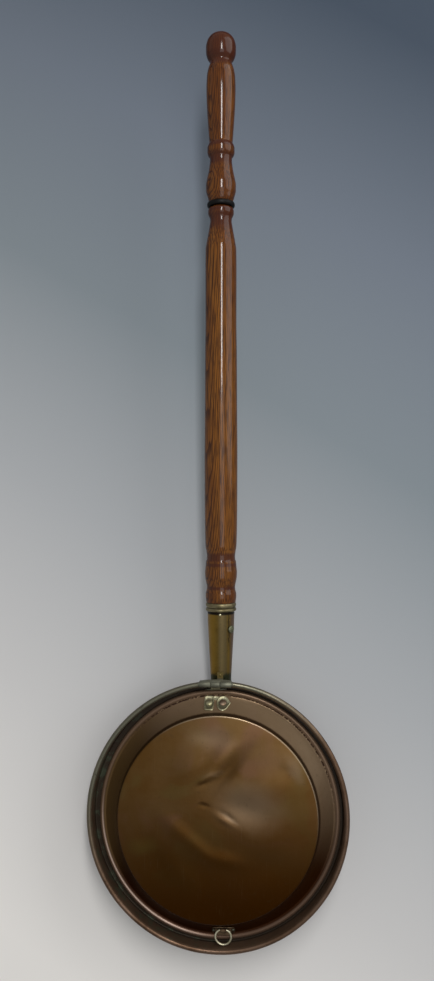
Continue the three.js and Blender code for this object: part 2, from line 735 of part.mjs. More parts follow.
function hingeBracket() {
  const knuckle = (HINGE_LENGTH - CENTRE_KNUCKLE_LENGTH) / 2 - GAP;
  const shift = (HINGE_LENGTH - knuckle) / 2;
  const roll = arc(rimRollCentre, RIM_ROLL_RADIUS, CLIP_START, CLIP_END, 6);
  const clip = solid(spun(strip(roll, -GAP, -GAP - BRASS_SHEET), PAN_SEGMENTS));
  const leaf = [
    [hingeY + BARREL_RADIUS - BRASS_SHEET, hingeHeight],
    [hingeY + BARREL_RADIUS, hingeHeight],
    [hingeY + BARREL_RADIUS, PAN_HEIGHT],
    [hingeY + BARREL_RADIUS - BRASS_SHEET, PAN_HEIGHT],
  ];
  const body = [HINGE_X - shift, HINGE_X + shift].reduce(
    (all, x) => all
      .add(solid(barrel(BARREL_RADIUS, knuckle).translate(x, hingeY, hingeHeight)))
      .add(solid(prismAcross(leaf, x, knuckle))),
    clip.intersect(solid(slab(HINGE_X, HINGE_LENGTH, 0, 2 * PAN_RIM_RADIUS))),
  ).add(solid(bracketTongue()));
  const bore = barrel(PIN_RADIUS + GAP, 2 * HINGE_LENGTH).translate(HINGE_X, hingeY, hingeHeight);
  return toGeometry(cutAll(body, [bore, shankHole(placedSeat(tongueRivetSeat()), SMALL_RIVET_RADIUS)]));
}

function bracketRivet() {
  const grip = BRASS_SHEET + SOCKET_WALL + 4 * GAP;
  const form = rivet(SMALL_RIVET_RADIUS, SMALL_RIVET_HEAD_RADIUS, SMALL_RIVET_HEAD_HEIGHT, grip);
  return seated(form, placedSeat(tongueRivetSeat()), 0);
}

/** Hinge pin with a domed head at each end. */
function hingePin() {
  const length = HINGE_LENGTH + 2 * GAP;
  const form = rivet(PIN_RADIUS, PIN_HEAD_RADIUS, PIN_HEAD_HEIGHT, length);
  return form.rotateZ(-Math.PI / 2).translate(HINGE_X + length / 2, hingeY, hingeHeight);
}

// ---------------------------------------------------------------- lid, in its own frame

/** Circular cove from the disc's edge down to the groove, hollow side up. */
function lidCove() {
  const top = [discRadius, grooveHeight + DISC_HEIGHT - DISC_EDGE_RADIUS];
  const foot = [grooveRadius, grooveHeight];
  const drop = top[1] - foot[1];
  const run = foot[0] - top[0];
  const headSlope = 2 * Math.atan2(drop, run) - COVE_FOOT_SLOPE;
  const radius = Math.hypot(drop, run) / (2 * Math.sin((headSlope - COVE_FOOT_SLOPE) / 2));
  const centre = [
    foot[0] + radius * Math.sin(COVE_FOOT_SLOPE),
    foot[1] + radius * Math.cos(COVE_FOOT_SLOPE),
  ];
  return arc(centre, radius, -Math.PI / 2 - headSlope, -Math.PI / 2 - COVE_FOOT_SLOPE, 6);
}

/** Visible face of the lid's sheet, from its middle to the end of the rim's roll. */
function lidTop() {
  const flatRadius = discRadius - DISC_EDGE_RADIUS;
  const discHeight = grooveHeight + DISC_HEIGHT;
  const crown = [0, 0.4, 0.75, 1].map((share) => [
    flatRadius * share,
    discHeight + DISC_CROWN * (1 - share ** 2),
  ]);
  const edge = arc([flatRadius, discHeight - DISC_EDGE_RADIUS], DISC_EDGE_RADIUS, Math.PI / 2, 0, 2);
  const roll = arc([lidRollRadius, 0], LID_ROLL_RADIUS, LID_ROLL_START, LID_ROLL_END, 6);
  return [...crown, ...edge.slice(1), ...lidCove().slice(1), ...roll];
}

/** Point and outward normal on the cove at a sideways place, on the side of +Y (1) or -Y (-1). */
function coveSeat(x, radius, side) {
  const cove = lidCove();
  const next = cove.findIndex((point) => point[0] > radius);
  const [before, after] = [cove[next - 1], cove[next]];
  const share = (radius - before[0]) / (after[0] - before[0]);
  const slope = Math.atan2(before[1] - after[1], after[0] - before[0]);
  const around = Math.asin(x / radius);
  return {
    point: new THREE.Vector3(
      x,
      side * radius * Math.cos(around),
      THREE.MathUtils.lerp(before[1], after[1], share),
    ),
    normal: new THREE.Vector3(
      Math.sin(around) * Math.sin(slope),
      side * Math.cos(around) * Math.sin(slope),
      Math.cos(slope),
    ),
  };
}

function plateRivetSeats() {
  const middle = PLATE_X - LID_OFFSET_X;
  return [-1, 1].map((side) => coveSeat(middle + (side * LOBE_SPACING) / 2, plateRadius, 1));
}

function saddleRivetSeats() {
  const middle = RING_X - LID_OFFSET_X;
  return [-1, 1].map((side) => (
    coveSeat(middle + (side * SADDLE_RIVET_SPACING) / 2, saddleRadius, -1)
  ));
}

function lidShell() {
  const sheet = solid(spun(strip(lidTop(), 0, SHEET), PAN_SEGMENTS));
  return toGeometry(cutAll(sheet, [
    ...plateRivetSeats().map((seat) => shankHole(seat, PLATE_RIVET_RADIUS)),
    ...saddleRivetSeats().map((seat) => shankHole(seat, SMALL_RIVET_RADIUS)),
  ]));
}

function lidRimWire() {
  return wireHoop([lidRollRadius, 0], LID_ROLL_RADIUS - SHEET - ROLL_SLACK);
}

/** Strap that hugs the cove from below, passes under the lid's rim and rises to the hinge. */
function hingeStrap() {
  const middle = HINGE_X - LID_OFFSET_X;
  const hinge = [hingeY, hingeHeight - lidHeight];
  const upright = lidRadius + STRAP_CLEARANCE;
  const under = -LID_ROLL_RADIUS - GAP;
  const face = [
    ...offset(lidCove(), SHEET + GAP),
    ...rounded([
      [grooveRadius, -SHEET],
      [grooveRadius, under, BRASS_SHEET],
      [upright, under, STRAP_BEND_RADIUS],
      [upright, neckHeight],
    ], 3).slice(1),
  ];
  const neck = [
    [upright, neckHeight - STRAP_BEND_RADIUS],
    [upright, neckHeight],
    [hinge[0] - BARREL_RADIUS + GAP, hinge[1]],
  ];
  const start = plateRadius - STRAP_REACH;
  const shell = solid(spun(strip(face, 0, BRASS_SHEET), PAN_SEGMENTS))
    .intersect(solid(slab(middle, STRAP_WIDTH, start, 2 * PAN_RIM_RADIUS)));
  const body = shell
    .add(solid(prismAcross(strip(neck, 0, BRASS_SHEET), middle, CENTRE_KNUCKLE_LENGTH)))
    .add(solid(barrel(BARREL_RADIUS, CENTRE_KNUCKLE_LENGTH).translate(middle, ...hinge)));
  return toGeometry(cutAll(body, [
    barrel(PIN_RADIUS + GAP, HINGE_LENGTH).translate(middle, ...hinge),
    ...plateRivetSeats().map((seat) => shankHole(seat, PLATE_RIVET_RADIUS)),
  ]));
}

/** Squared lobe and round, pointed lobe, joined by a neck near the lid's rim. */
function plateLobes() {
  const middle = PLATE_X - LID_OFFSET_X;
  const [left, right] = [middle - LOBE_SPACING / 2, middle + LOBE_SPACING / 2];
  const squared = roundedRectangle(LEFT_LOBE_WIDTH, 2 * LOBE_HALF_LENGTH, LEFT_LOBE_WIDTH / 4);
  const pointed = new THREE.Shape();
  pointed.absarc(0, 0, LOBE_HALF_LENGTH, LOBE_TIP_ANGLE, 2 * Math.PI - LOBE_TIP_ANGLE);
  pointed.lineTo(LOBE_HALF_LENGTH / Math.cos(LOBE_TIP_ANGLE), 0);
  const neck = roundedRectangle(LOBE_SPACING, PLATE_NECK, PLATE_NECK / 4);
  const neckY = plateRadius + LOBE_HALF_LENGTH / 2;
  return [
    prismUp(squared, DISC_HEIGHT).translate(left, plateRadius, 0),
    prismUp(pointed, DISC_HEIGHT).translate(right, plateRadius, 0),
    prismUp(neck, DISC_HEIGHT).translate(middle, neckY, 0),
  ].map(solid).reduce((all, lobe) => all.add(lobe));
}

function hingePlate() {
  const shell = solid(spun(strip(lidCove(), -GAP, -GAP - PLATE_SHEET), PAN_SEGMENTS));
  const holes = plateRivetSeats().map((seat) => shankHole(seat, PLATE_RIVET_RADIUS));
  return toGeometry(cutAll(shell.intersect(plateLobes()), holes));
}

function plateRivet(seat) {
  const grip = PLATE_SHEET + SHEET + BRASS_SHEET + 4 * GAP + facetSag(plateRadius);
  const form = rivet(PLATE_RIVET_RADIUS, PLATE_RIVET_HEAD_RADIUS, PLATE_RIVET_HEAD_HEIGHT, grip);
  return seated(form, seat, PLATE_SHEET + 2 * GAP);
}

// ---------------------------------------------------------------- lifting ring and its saddle

/** Axis of the ring's bar in the lid's frame. */
function ringPivot() {
  const { point, normal } = coveSeat(0, ringSeatRadius, -1);
  const rise = GAP + CURL_SHEET + GAP + RING_WIRE_RADIUS;
  return point.addScaledVector(normal, rise).setX(RING_X - LID_OFFSET_X);
}

/** Saddle under the ring: ears riveted to the cove, a pad the ring lies on and an eye for its bar. */
function ringSaddle() {
  const pivot = ringPivot();
  const ears = prismUp(roundedRectangle(SADDLE_WIDTH, SADDLE_DEPTH, SADDLE_DEPTH / 4), DISC_HEIGHT)
    .translate(pivot.x, -saddleRadius, 0);
  const shell = solid(spun(strip(lidCove(), -GAP, -GAP - CURL_SHEET), PAN_SEGMENTS))
    .intersect(solid(ears));
  const above = spun([
    ...offset(lidCove(), -GAP),
    [grooveRadius, 2 * DISC_HEIGHT],
    [discRadius, 2 * DISC_HEIGHT],
  ], PAN_SEGMENTS);
  const drop = (y) => pivot.z - (pivot.y - y) * Math.tan(RING_TILT);
  const bed = (RING_WIRE_RADIUS + GAP) / Math.cos(RING_TILT);
  const outer = -saddleRadius - SADDLE_DEPTH / 2;
  const pad = prismAcross([
    [-discRadius, 0],
    [-discRadius, drop(-discRadius) - bed],
    [outer, drop(outer) - bed],
    [outer, 0],
  ], pivot.x, 2 * RING_RADIUS);
  const body = shell
    .add(solid(above).intersect(solid(pad)))
    .add(solid(barrel(RING_WIRE_RADIUS + GAP + CURL_SHEET, CURL_LENGTH).translate(...pivot)));
  const bore = barrel(RING_WIRE_RADIUS + GAP, SADDLE_WIDTH).translate(...pivot);
  return toGeometry(cutAll(body, [
    bore,
    ...saddleRivetSeats().map((seat) => shankHole(seat, SMALL_RIVET_RADIUS)),
  ]));
}

function saddleRivet(seat) {
  const grip = CURL_SHEET + SHEET + 3 * GAP + facetSag(saddleRadius);
  const form = rivet(SMALL_RIVET_RADIUS, SMALL_RIVET_HEAD_RADIUS, SMALL_RIVET_HEAD_HEIGHT, grip);
  return seated(form, seat, CURL_SHEET + 2 * GAP);
}

/** Ring with one straight side, the bar, which lies along X through the origin. */
function liftingRing() {
  const bar = RING_BAR_LENGTH / 2;
  const toCentre = Math.sqrt(RING_RADIUS ** 2 - bar ** 2);
  const section = arc([RING_RADIUS, 0], RING_WIRE_RADIUS, 0, 2 * Math.PI, 6).slice(0, -1);
  const hoop = spun(section, 24).translate(0, -toCentre, 0);
  const kept = slab(0, 4 * RING_RADIUS, -4 * RING_RADIUS, 0);
  const straight = new THREE.CapsuleGeometry(RING_WIRE_RADIUS, RING_BAR_LENGTH, 2, 6);
  const ring = solid(hoop).intersect(solid(kept)).add(solid(straight.rotateZ(Math.PI / 2)));
  return toGeometry(ring);
}

// ---------------------------------------------------------------- assembly

const handle = new THREE.Group();
handle.position.copy(handleRoot);
handle.rotation.x = HANDLE_RAKE;
handle.add(
  piece('socket_collar', socketCollar(), LOOKS.brass),
  piece('handle_shaft', handleShaft(), LOOKS.wood),
  piece('side_nail', sideNail(), LOOKS.brass),
  piece('front_pin', frontPin(), LOOKS.brightBrass),
  piece('joint_stud', weld(jointStud()), LOOKS.wood),
  piece('joint_ring', jointRing(), LOOKS.ebonised),
  piece('grip_section', gripSection(), LOOKS.wood),
);

const ring = piece('lifting_ring', liftingRing(), LOOKS.brightBrass);
ring.position.copy(ringPivot());
ring.rotation.x = RING_TILT;

const sides = ['left', 'right'];
const rivetLooks = [LOOKS.brightBrass, LOOKS.copper];
const lid = new THREE.Group();
lid.position.set(LID_OFFSET_X, 0, lidHeight);
lid.add(
  piece('lid_shell', lidShell(), LOOKS.copper),
  piece('lid_rim_wire', lidRimWire(), LOOKS.iron),
  piece('hinge_strap', hingeStrap(), LOOKS.brass),
  piece('hinge_plate', hingePlate(), LOOKS.brightBrass),
  ...plateRivetSeats().map((seat, i) => piece(`plate_rivet_${sides[i]}`, plateRivet(seat), rivetLooks[i])),
  piece('ring_saddle', ringSaddle(), LOOKS.brass),
  ...saddleRivetSeats().map((seat, i) => piece(`saddle_rivet_${sides[i]}`, saddleRivet(seat), LOOKS.brass)),
  ring,
);

const warmingPan = new THREE.Group();
warmingPan.add(
  piece('pan_body', panBody(), LOOKS.copper),
  piece('pan_rim_wire', panRimWire(), LOOKS.iron),
  piece('hinge_bracket', hingeBracket(), LOOKS.brass),
  piece('hinge_pin', hingePin(), LOOKS.brass),
  piece('bracket_rivet', bracketRivet(), LOOKS.brass),
  piece('handle_socket', handleSocket(), LOOKS.brass),
  ...footRivetSeats().map((seat, i) => piece(`socket_rivet_${i + 1}`, socketRivet(seat), LOOKS.copper)),
  handle,
  lid,
);

export default warmingPan;
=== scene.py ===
import json

import bpy
import numpy as np
from mathutils import Matrix, Vector


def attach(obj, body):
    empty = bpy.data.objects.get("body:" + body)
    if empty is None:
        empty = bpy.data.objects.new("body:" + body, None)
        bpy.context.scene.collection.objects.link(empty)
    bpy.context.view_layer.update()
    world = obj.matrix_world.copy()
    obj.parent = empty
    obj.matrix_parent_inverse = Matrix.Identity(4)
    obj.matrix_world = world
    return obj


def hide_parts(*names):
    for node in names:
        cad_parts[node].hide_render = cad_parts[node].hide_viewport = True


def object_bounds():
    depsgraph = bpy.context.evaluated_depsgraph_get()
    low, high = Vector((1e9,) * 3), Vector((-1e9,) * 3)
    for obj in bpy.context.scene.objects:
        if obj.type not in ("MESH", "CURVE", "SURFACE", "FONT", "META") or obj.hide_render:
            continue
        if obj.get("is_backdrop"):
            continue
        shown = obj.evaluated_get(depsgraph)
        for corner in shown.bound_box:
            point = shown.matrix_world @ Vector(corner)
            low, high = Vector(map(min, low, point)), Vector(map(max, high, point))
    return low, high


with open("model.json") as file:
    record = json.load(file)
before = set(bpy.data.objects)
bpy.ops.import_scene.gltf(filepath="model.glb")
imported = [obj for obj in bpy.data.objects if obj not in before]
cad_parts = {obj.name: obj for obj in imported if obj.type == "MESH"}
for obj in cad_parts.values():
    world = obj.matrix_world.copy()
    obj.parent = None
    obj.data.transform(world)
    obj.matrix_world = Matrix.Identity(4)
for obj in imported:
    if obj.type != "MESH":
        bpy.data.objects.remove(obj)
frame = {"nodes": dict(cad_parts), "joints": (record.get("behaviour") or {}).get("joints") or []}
cad_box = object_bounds()

# ---------------------------------------------------------------- camera
# The photograph looks down on the pan from a little over a metre, from a point above the
# lower end of the handle. Turns are degrees about the camera's own axes, places metres.
CAMERA_PLACE = (0.0666, 0.2831, 1.0404)
CAMERA_TURNS = {"X": -5.911, "Y": -4.064, "Z": -0.026}
FOCAL_SHARE = 800 / 981

camera_lens = bpy.data.cameras.new("camera")
camera_lens.sensor_fit = "VERTICAL"
camera_lens.sensor_height = 36
camera_lens.lens = FOCAL_SHARE * camera_lens.sensor_height
camera = bpy.data.objects.new("camera", camera_lens)
bpy.context.scene.collection.objects.link(camera)
turn = Matrix.Identity(3)
for axis, degrees in CAMERA_TURNS.items():
    turn = Matrix.Rotation(np.radians(degrees), 3, axis) @ turn
camera.matrix_world = Matrix.Translation(CAMERA_PLACE) @ turn.transposed().to_4x4()
bpy.context.scene.camera = camera

# ---------------------------------------------------------------- studio light
# A long narrow lamp over the handle draws the streak on the polished wood, a soft one over
# the pan shows the lid's dents, a broad one low at the upper right lights the cove, and an
# even pale sky fills in. A lamp's length lies along Y.
LAMPS = [
    # name, place, point it faces, width, length, watts
    ("strip_lamp", (0.24, 0.95, 1.60), (0.0, 0.50, 0.1), 0.18, 0.85, 15.0),
    ("top_lamp", (0.42, 0.02, 1.90), (0.30, 0.05, 0.1), 1.00, 1.00, 5.0),
    ("broad_lamp", (1.50, 1.20, 0.80), (0.0, 0.0, 0.1), 1.60, 2.20, 19.0),
]
SKY = (0.96, 0.98, 1.0, 1.0)
SKY_STRENGTH = 0.42

bpy.context.scene.view_settings.view_transform = "Standard"

for name, place, facing, width, length, watts in LAMPS:
    lamp = bpy.data.lights.new(name, "AREA")
    lamp.shape = "RECTANGLE"
    lamp.size = width
    lamp.size_y = length
    lamp.energy = watts
    holder = bpy.data.objects.new(name, lamp)
    bpy.context.scene.collection.objects.link(holder)
    back = (Vector(place) - Vector(facing)).normalized()
    across = Vector((0, 1, 0)).cross(back).normalized()
    turn = Matrix((across, back.cross(across), back)).transposed()
    holder.matrix_world = Matrix.Translation(place) @ turn.to_4x4()

world = bpy.data.worlds.new("studio_sky")
world.use_nodes = True
world.node_tree.nodes["Background"].inputs["Color"].default_value = SKY
world.node_tree.nodes["Background"].inputs["Strength"].default_value = SKY_STRENGTH
bpy.context.scene.world = world

# ---------------------------------------------------------------- floor
# A plain pale sheet under the pan, warm at the near left and bluer and deeper towards the
# far right, as in the photograph. It isn't part of the object.
# The tones are painted fall-off of the light, darker towards the far right, where the sheet is also bluer.
FLOOR_HALF = 4.0
FLOOR_DROP = 0.0004
FLOOR_SLOPE = (0.62, 1.0, 0.0)
FLOOR_REACH = (-0.335, 1.17)
FLOOR_TONES = [
    (0.0, (0.77, 0.74, 0.70)), (0.206, (0.52, 0.51, 0.50)), (0.389, (0.335, 0.344, 0.353)),
    (0.588, (0.168, 0.194, 0.212)), (0.781, (0.112, 0.132, 0.162)), (1.0, (0.034, 0.049, 0.072)),
]


def put(kind, sockets, **settings):
    """Adds a node to the tree of the outputs that feed it. Its sockets are values or outputs of
    other nodes, and the settings are its own properties."""
    feeds = {key: value for key, value in sockets.items() if isinstance(value, bpy.types.NodeSocket)}
    tree = next(iter(feeds.values())).id_data
    made = tree.nodes.new(kind)
    for key, value in settings.items():
        setattr(made, key, value)
    for key, value in sockets.items():
        if key in feeds:
            tree.links.new(value, made.inputs[key])
        else:
            made.inputs[key].default_value = value
    return made


def new_material(name, **constants):
    """Material with one Principled shader, whose constant values are straight on its sockets.
    Gives it, the shader and Object coordinates: the place in the row frame, in metres."""
    material = bpy.data.materials.new(name)
    material.use_nodes = True
    shader = material.node_tree.nodes["Principled BSDF"]
    for key, value in constants.items():
        shader.inputs[key.replace("_", " ").title().replace("Ior", "IOR")].default_value = value
    return material, shader, material.node_tree.nodes.new("ShaderNodeTexCoord").outputs["Object"]


def feed(shader, **sources):
    """Links outputs to the shader's inputs of those names."""
    for key, source in sources.items():
        shader.id_data.links.new(source, shader.inputs[key.replace("_", " ").title()])


def scalar(operation, *values):
    """Result of a Math node."""
    return put("ShaderNodeMath", dict(enumerate(values)), operation=operation).outputs["Value"]


def vector(operation, *values, result="Vector"):
    """Result of a Vector Math node."""
    return put("ShaderNodeVectorMath", dict(enumerate(values)), operation=operation).outputs[result]


def along(place, direction):
    """How far a place lies along a direction, in metres."""
    return vector("DOT_PRODUCT", place, direction, result="Value")


def ramp(factor, stops):
    """Colour that runs through (place, colour) stops as the factor goes from 0 to 1."""
    made = put("ShaderNodeValToRGB", {"Fac": factor})
    elements = made.color_ramp.elements
    while len(elements) < len(stops):
        elements.new(0.5)
    for element, (place, colour) in zip(elements, stops):
        element.position = place
        element.color = (*colour, 1)
    return made.outputs["Color"]


floor_mesh = bpy.data.meshes.new("floor")
floor_corners = np.array([(-1, -1, 0), (1, -1, 0), (1, 1, 0), (-1, 1, 0)]) * FLOOR_HALF
floor_mesh.from_pydata((floor_corners - (0, 0, FLOOR_DROP)).tolist(), [], [(0, 1, 2, 3)])
floor = bpy.data.objects.new("floor", floor_mesh)
bpy.context.scene.collection.objects.link(floor)
floor_finish, shader, place = new_material("pale_floor", roughness=0.9)
floor_share = put("ShaderNodeMapRange", {
    "Value": along(place, FLOOR_SLOPE), "From Min": FLOOR_REACH[0], "From Max": FLOOR_REACH[1],
}).outputs["Result"]
feed(shader, base_color=ramp(floor_share, FLOOR_TONES))
floor_mesh.materials.append(floor_finish)
floor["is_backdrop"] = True

# ---------------------------------------------------------------- pan
# Spun from one sheet of copper: flat base, sides with a ledge the lid sits on, and an
# edge rolled over a wire. Brown with age, greener in the gap beside the lid.
SHEET = 0.0012
RIM_RADIUS = 0.155
PAN_HEIGHT = 0.072
ROLL_RADIUS = 0.0031
ROLL_END = np.radians(-115)
ROLL_STEPS = 26
WALL_RADIUS = RIM_RADIUS - 2 * ROLL_RADIUS
WALL_TAPER = 0.004
LEDGE_HEIGHT = PAN_HEIGHT - 0.0217
LEDGE_WIDTH = 0.007
LEDGE_FILLET = 0.0015
BASE_CORNER = 0.011
MIDDLE_HOLE = 0.0004
PAN_SIDES = 256
PAN_STEP = 0.0014
PAN_WANDER = 0.00018


def bent(corners, radii, steps=10):
    """Straight runs with round corners. An arc's centre lies on its corner's bisector, at the
    radius over the sine of half the corner's angle, and the arc turns between its two feet."""
    corners = np.array(corners, float)
    path = [corners[:1]]
    for before, corner, after, radius in zip(corners, corners[1:], corners[2:], radii):
        back = (before - corner) / np.linalg.norm(before - corner)
        on = (after - corner) / np.linalg.norm(after - corner)
        half = np.arccos(back @ on) / 2
        centre = corner + (back + on) / np.linalg.norm(back + on) * radius / np.sin(half)
        start = corner + back * radius / np.tan(half) - centre
        finish = corner + on * radius / np.tan(half) - centre
        sweep = np.arctan2(start[0] * finish[1] - start[1] * finish[0], start @ finish)
        angles = np.arctan2(start[1], start[0]) + sweep * np.linspace(0, 1, steps)
        path.append(centre + radius * np.stack([np.cos(angles), np.sin(angles)], 1))
    return np.vstack([*path, corners[-1:]])


def arc(centre, radius, start, end, steps):
    """Points on a circle between two angles, in radians."""
    angles = np.linspace(start, end, steps)
    return np.array(centre) + radius * np.stack([np.cos(angles), np.sin(angles)], 1)


def dense(path, step):
    """The same path with points added, so that none lie further apart than a step."""
    lengths = np.r_[0, np.cumsum(np.linalg.norm(np.diff(path, axis=0), axis=1))]
    even = np.linspace(0, lengths[-1], int(lengths[-1] / step) + 2)
    at = np.unique(np.r_[lengths, even[np.abs(even[:, None] - lengths).min(1) > step / 4]])
    return np.stack([np.interp(at, lengths, column) for column in path.T], 1)


def beside(path, distance):
    """The path moved to its right, along the normals of its central differences."""
    forward = np.gradient(path, axis=0)
    forward /= np.linalg.norm(forward, axis=1, keepdims=True)
    return path + distance * np.stack([forward[:, 1], -forward[:, 0]], 1)


def sheet_profile(path, thickness):
    """Closed outline of a sheet: its path, then back along the path's right side."""
    return np.vstack([path, beside(path, thickness)[::-1]])


def skin(rows, joined=False):
    """Points and faces over rows of points that close on themselves, each joined to the next.
    The last row joins the first, or else a point in its middle closes each end."""
    count, sides = rows.shape[:2]
    index = np.arange(count * sides).reshape(count, sides)
    low, high = (index, np.roll(index, -1, 0)) if joined else (index[:-1], index[1:])
    quads = np.stack([low, np.roll(low, -1, 1), np.roll(high, -1, 1), high], -1).reshape(-1, 4)
    points, caps = rows.reshape(-1, 3), np.zeros((0, 3), int)
    if not joined:
        first, last = np.full(sides, len(points)), np.full(sides, len(points) + 1)
        caps = np.vstack([
            np.stack([first, np.roll(index[0], -1), index[0]], 1),
            np.stack([last, index[-1], np.roll(index[-1], -1)], 1),
        ])
        points = np.vstack([points, rows[0].mean(0), rows[-1].mean(0)])
    corners = np.vstack([quads[:, :3], quads[:, [0, 2, 3]], caps])
    a, b, c = (points[corners[:, i]] - points.mean(0) for i in range(3))
    if np.einsum("ij,ij->", a, np.cross(b, c)) < 0:
        quads, caps = quads[:, ::-1], caps[:, ::-1]
    return points, quads.tolist() + caps.tolist()


def add_piece(name, skins, finish, sharp=180):
    """Object at the origin whose mesh holds the given skins, shaded smooth up to an angle."""
    points, faces, start = [], [], 0
    for skin_points, skin_faces in skins:
        points.append(skin_points)
        faces += [[start + corner for corner in face] for face in skin_faces]
        start += len(skin_points)
    mesh = bpy.data.meshes.new(name)
    mesh.from_pydata(np.vstack(points).tolist(), [], faces)
    mesh.polygons.foreach_set("use_smooth", np.ones(len(faces), bool))
    if sharp < 180:
        mesh.set_sharp_from_angle(angle=np.radians(sharp))
    mesh.materials.append(finish)
    made = bpy.data.objects.new(name, mesh)
    bpy.context.scene.collection.objects.link(made)
    return made


def spun_rows(profile, sides, centre_x=0.0):
    """Rows of a form turned about +Z: radius and height of the profile, carried round."""
    around = np.linspace(0, 2 * np.pi, sides, endpoint=False)
    radius, height = profile[:, :1], profile[:, 1:]
    level = np.broadcast_to(height, (len(profile), sides))
    return np.stack([centre_x + radius * np.cos(around), radius * np.sin(around), level], -1)


def uneven(rows, centre_x, amount, waves, seed):
    """Hand-worked metal: the radius wanders round the form as a sum of a few slow sine waves,
    which lean with the height and die out near the axis."""
    lean, calm_radius = 40, 0.02
    x, y, z = rows[..., 0] - centre_x, rows[..., 1], rows[..., 2]
    phases = np.random.default_rng(seed).uniform(0, 2 * np.pi, len(waves))
    around = np.arctan2(y, x)
    wander = sum(np.sin(wave * around + phase + lean * z) / wave for wave, phase in zip(waves, phases))
    grown = 1 + amount * wander / np.maximum(np.hypot(x, y), calm_radius)
    return np.stack([centre_x + x * grown, y * grown, z], -1)


def between(value, low, high):
    """Smooth step: 0 up to low, 1 from high on."""
    sockets = {"Value": value, "From Min": low, "From Max": high}
    return put("ShaderNodeMapRange", sockets, interpolation_type="SMOOTHSTEP").outputs["Result"]


def spread(mask, low, high):
    """Value that goes evenly from low to high as a mask goes from 0 to 1."""
    return put("ShaderNodeMapRange", {"Value": mask, "To Min": low, "To Max": high}).outputs["Result"]


def band(value, centre, half, soft):
    """1 within half a width of a value, falling to 0 over a soft edge."""
    return between(scalar("ABSOLUTE", scalar("SUBTRACT", value, centre)), half + soft, half)


def times(*masks):
    """Product of masks."""
    product = masks[0]
    for mask in masks[1:]:
        product = scalar("MULTIPLY", product, mask)
    return product


def mixed(factor, first, second):
    """Second colour over the first by a factor. A colour is three values or an output."""
    first, second = ((*side, 1) if isinstance(side, tuple) else side for side in (first, second))
    return put("ShaderNodeMix", {0: factor, 6: first, 7: second}, data_type="RGBA").outputs[2]


def over(colour, tone, *masks):
    """A tone laid over a colour where all the masks meet."""
    return mixed(times(*masks), colour, tone)


def mapped(place, kind="POINT", **parts):
    """The place through a Mapping node, with a Location, Rotation in radians or Scale."""
    return put("ShaderNodeMapping", {"Vector": place, **parts}, vector_type=kind).outputs["Vector"]


def noise(place, scale, detail, result="Fac", **more):
    """Noise texture at a place, its scale in features to the metre."""
    sockets = {"Vector": place, "Scale": scale, "Detail": detail, **more}
    return put("ShaderNodeTexNoise", sockets).outputs[result]


def level(place):
    """The place without its height."""
    return vector("MULTIPLY", place, (1, 1, 0))


def from_axis(place, centre_x):
    """Distance from the upright axis through a place along X, in metres."""
    return vector("LENGTH", level(vector("SUBTRACT", place, (centre_x, 0, 0))), result="Value")


def set_bump(shader, height, strength, distance):
    """Fine relief on the shader's normal."""
    sockets = {"Strength": strength, "Distance": distance, "Height": height}
    feed(shader, normal=put("ShaderNodeBump", sockets).outputs["Normal"])


def open_group(name, scales):
    """New shader group that takes a place and named scales. Gives it and its inputs."""
    group = bpy.data.node_groups.new(name, "ShaderNodeTree")
    group.interface.new_socket("Vector", in_out="INPUT", socket_type="NodeSocketVector")
    for label in scales:
        group.interface.new_socket(label, in_out="INPUT", socket_type="NodeSocketFloat")
    return group, group.nodes.new("NodeGroupInput").outputs


def close_group(group, masks):
    """Gives the group a named output for each mask."""
    for label in masks:
        group.interface.new_socket(label, in_out="OUTPUT", socket_type="NodeSocketFloat")
    result = group.nodes.new("NodeGroupOutput")
    for label, mask in masks.items():
        group.links.new(mask, result.inputs[label])
    return group


def tarnish_group():
    """Old metal: soft clouds of tarnish, small dark specks, fine scratches and a height."""
    group, source = open_group("tarnish", ["Cloud Scale", "Speck Scale"])
    place = source["Vector"]
    clouds = noise(place, source["Cloud Scale"], 5.0, Roughness=0.62, Distortion=0.5)
    fine = noise(place, source["Speck Scale"], 4.0, Roughness=0.6)
    lines = noise(mapped(place, Rotation=(0, 0, 0.9), Scale=(1, 0.04, 1)), 900.0, 2.0)
    return close_group(group, {
        "Clouds": between(clouds, 0.3, 0.7),
        "Specks": between(fine, 0.60, 0.72),
        "Scratches": between(lines, 0.62, 0.78),
        "Height": scalar("MULTIPLY_ADD", fine, 0.4, clouds),
    })


TARNISH = tarnish_group()


def tarnished(place, clouds, specks):
    """Outputs of the tarnish group at a place, its two scales in features to the metre."""
    sockets = {"Vector": place, "Cloud Scale": clouds, "Speck Scale": specks}
    return put("ShaderNodeGroup", sockets, node_tree=TARNISH).outputs


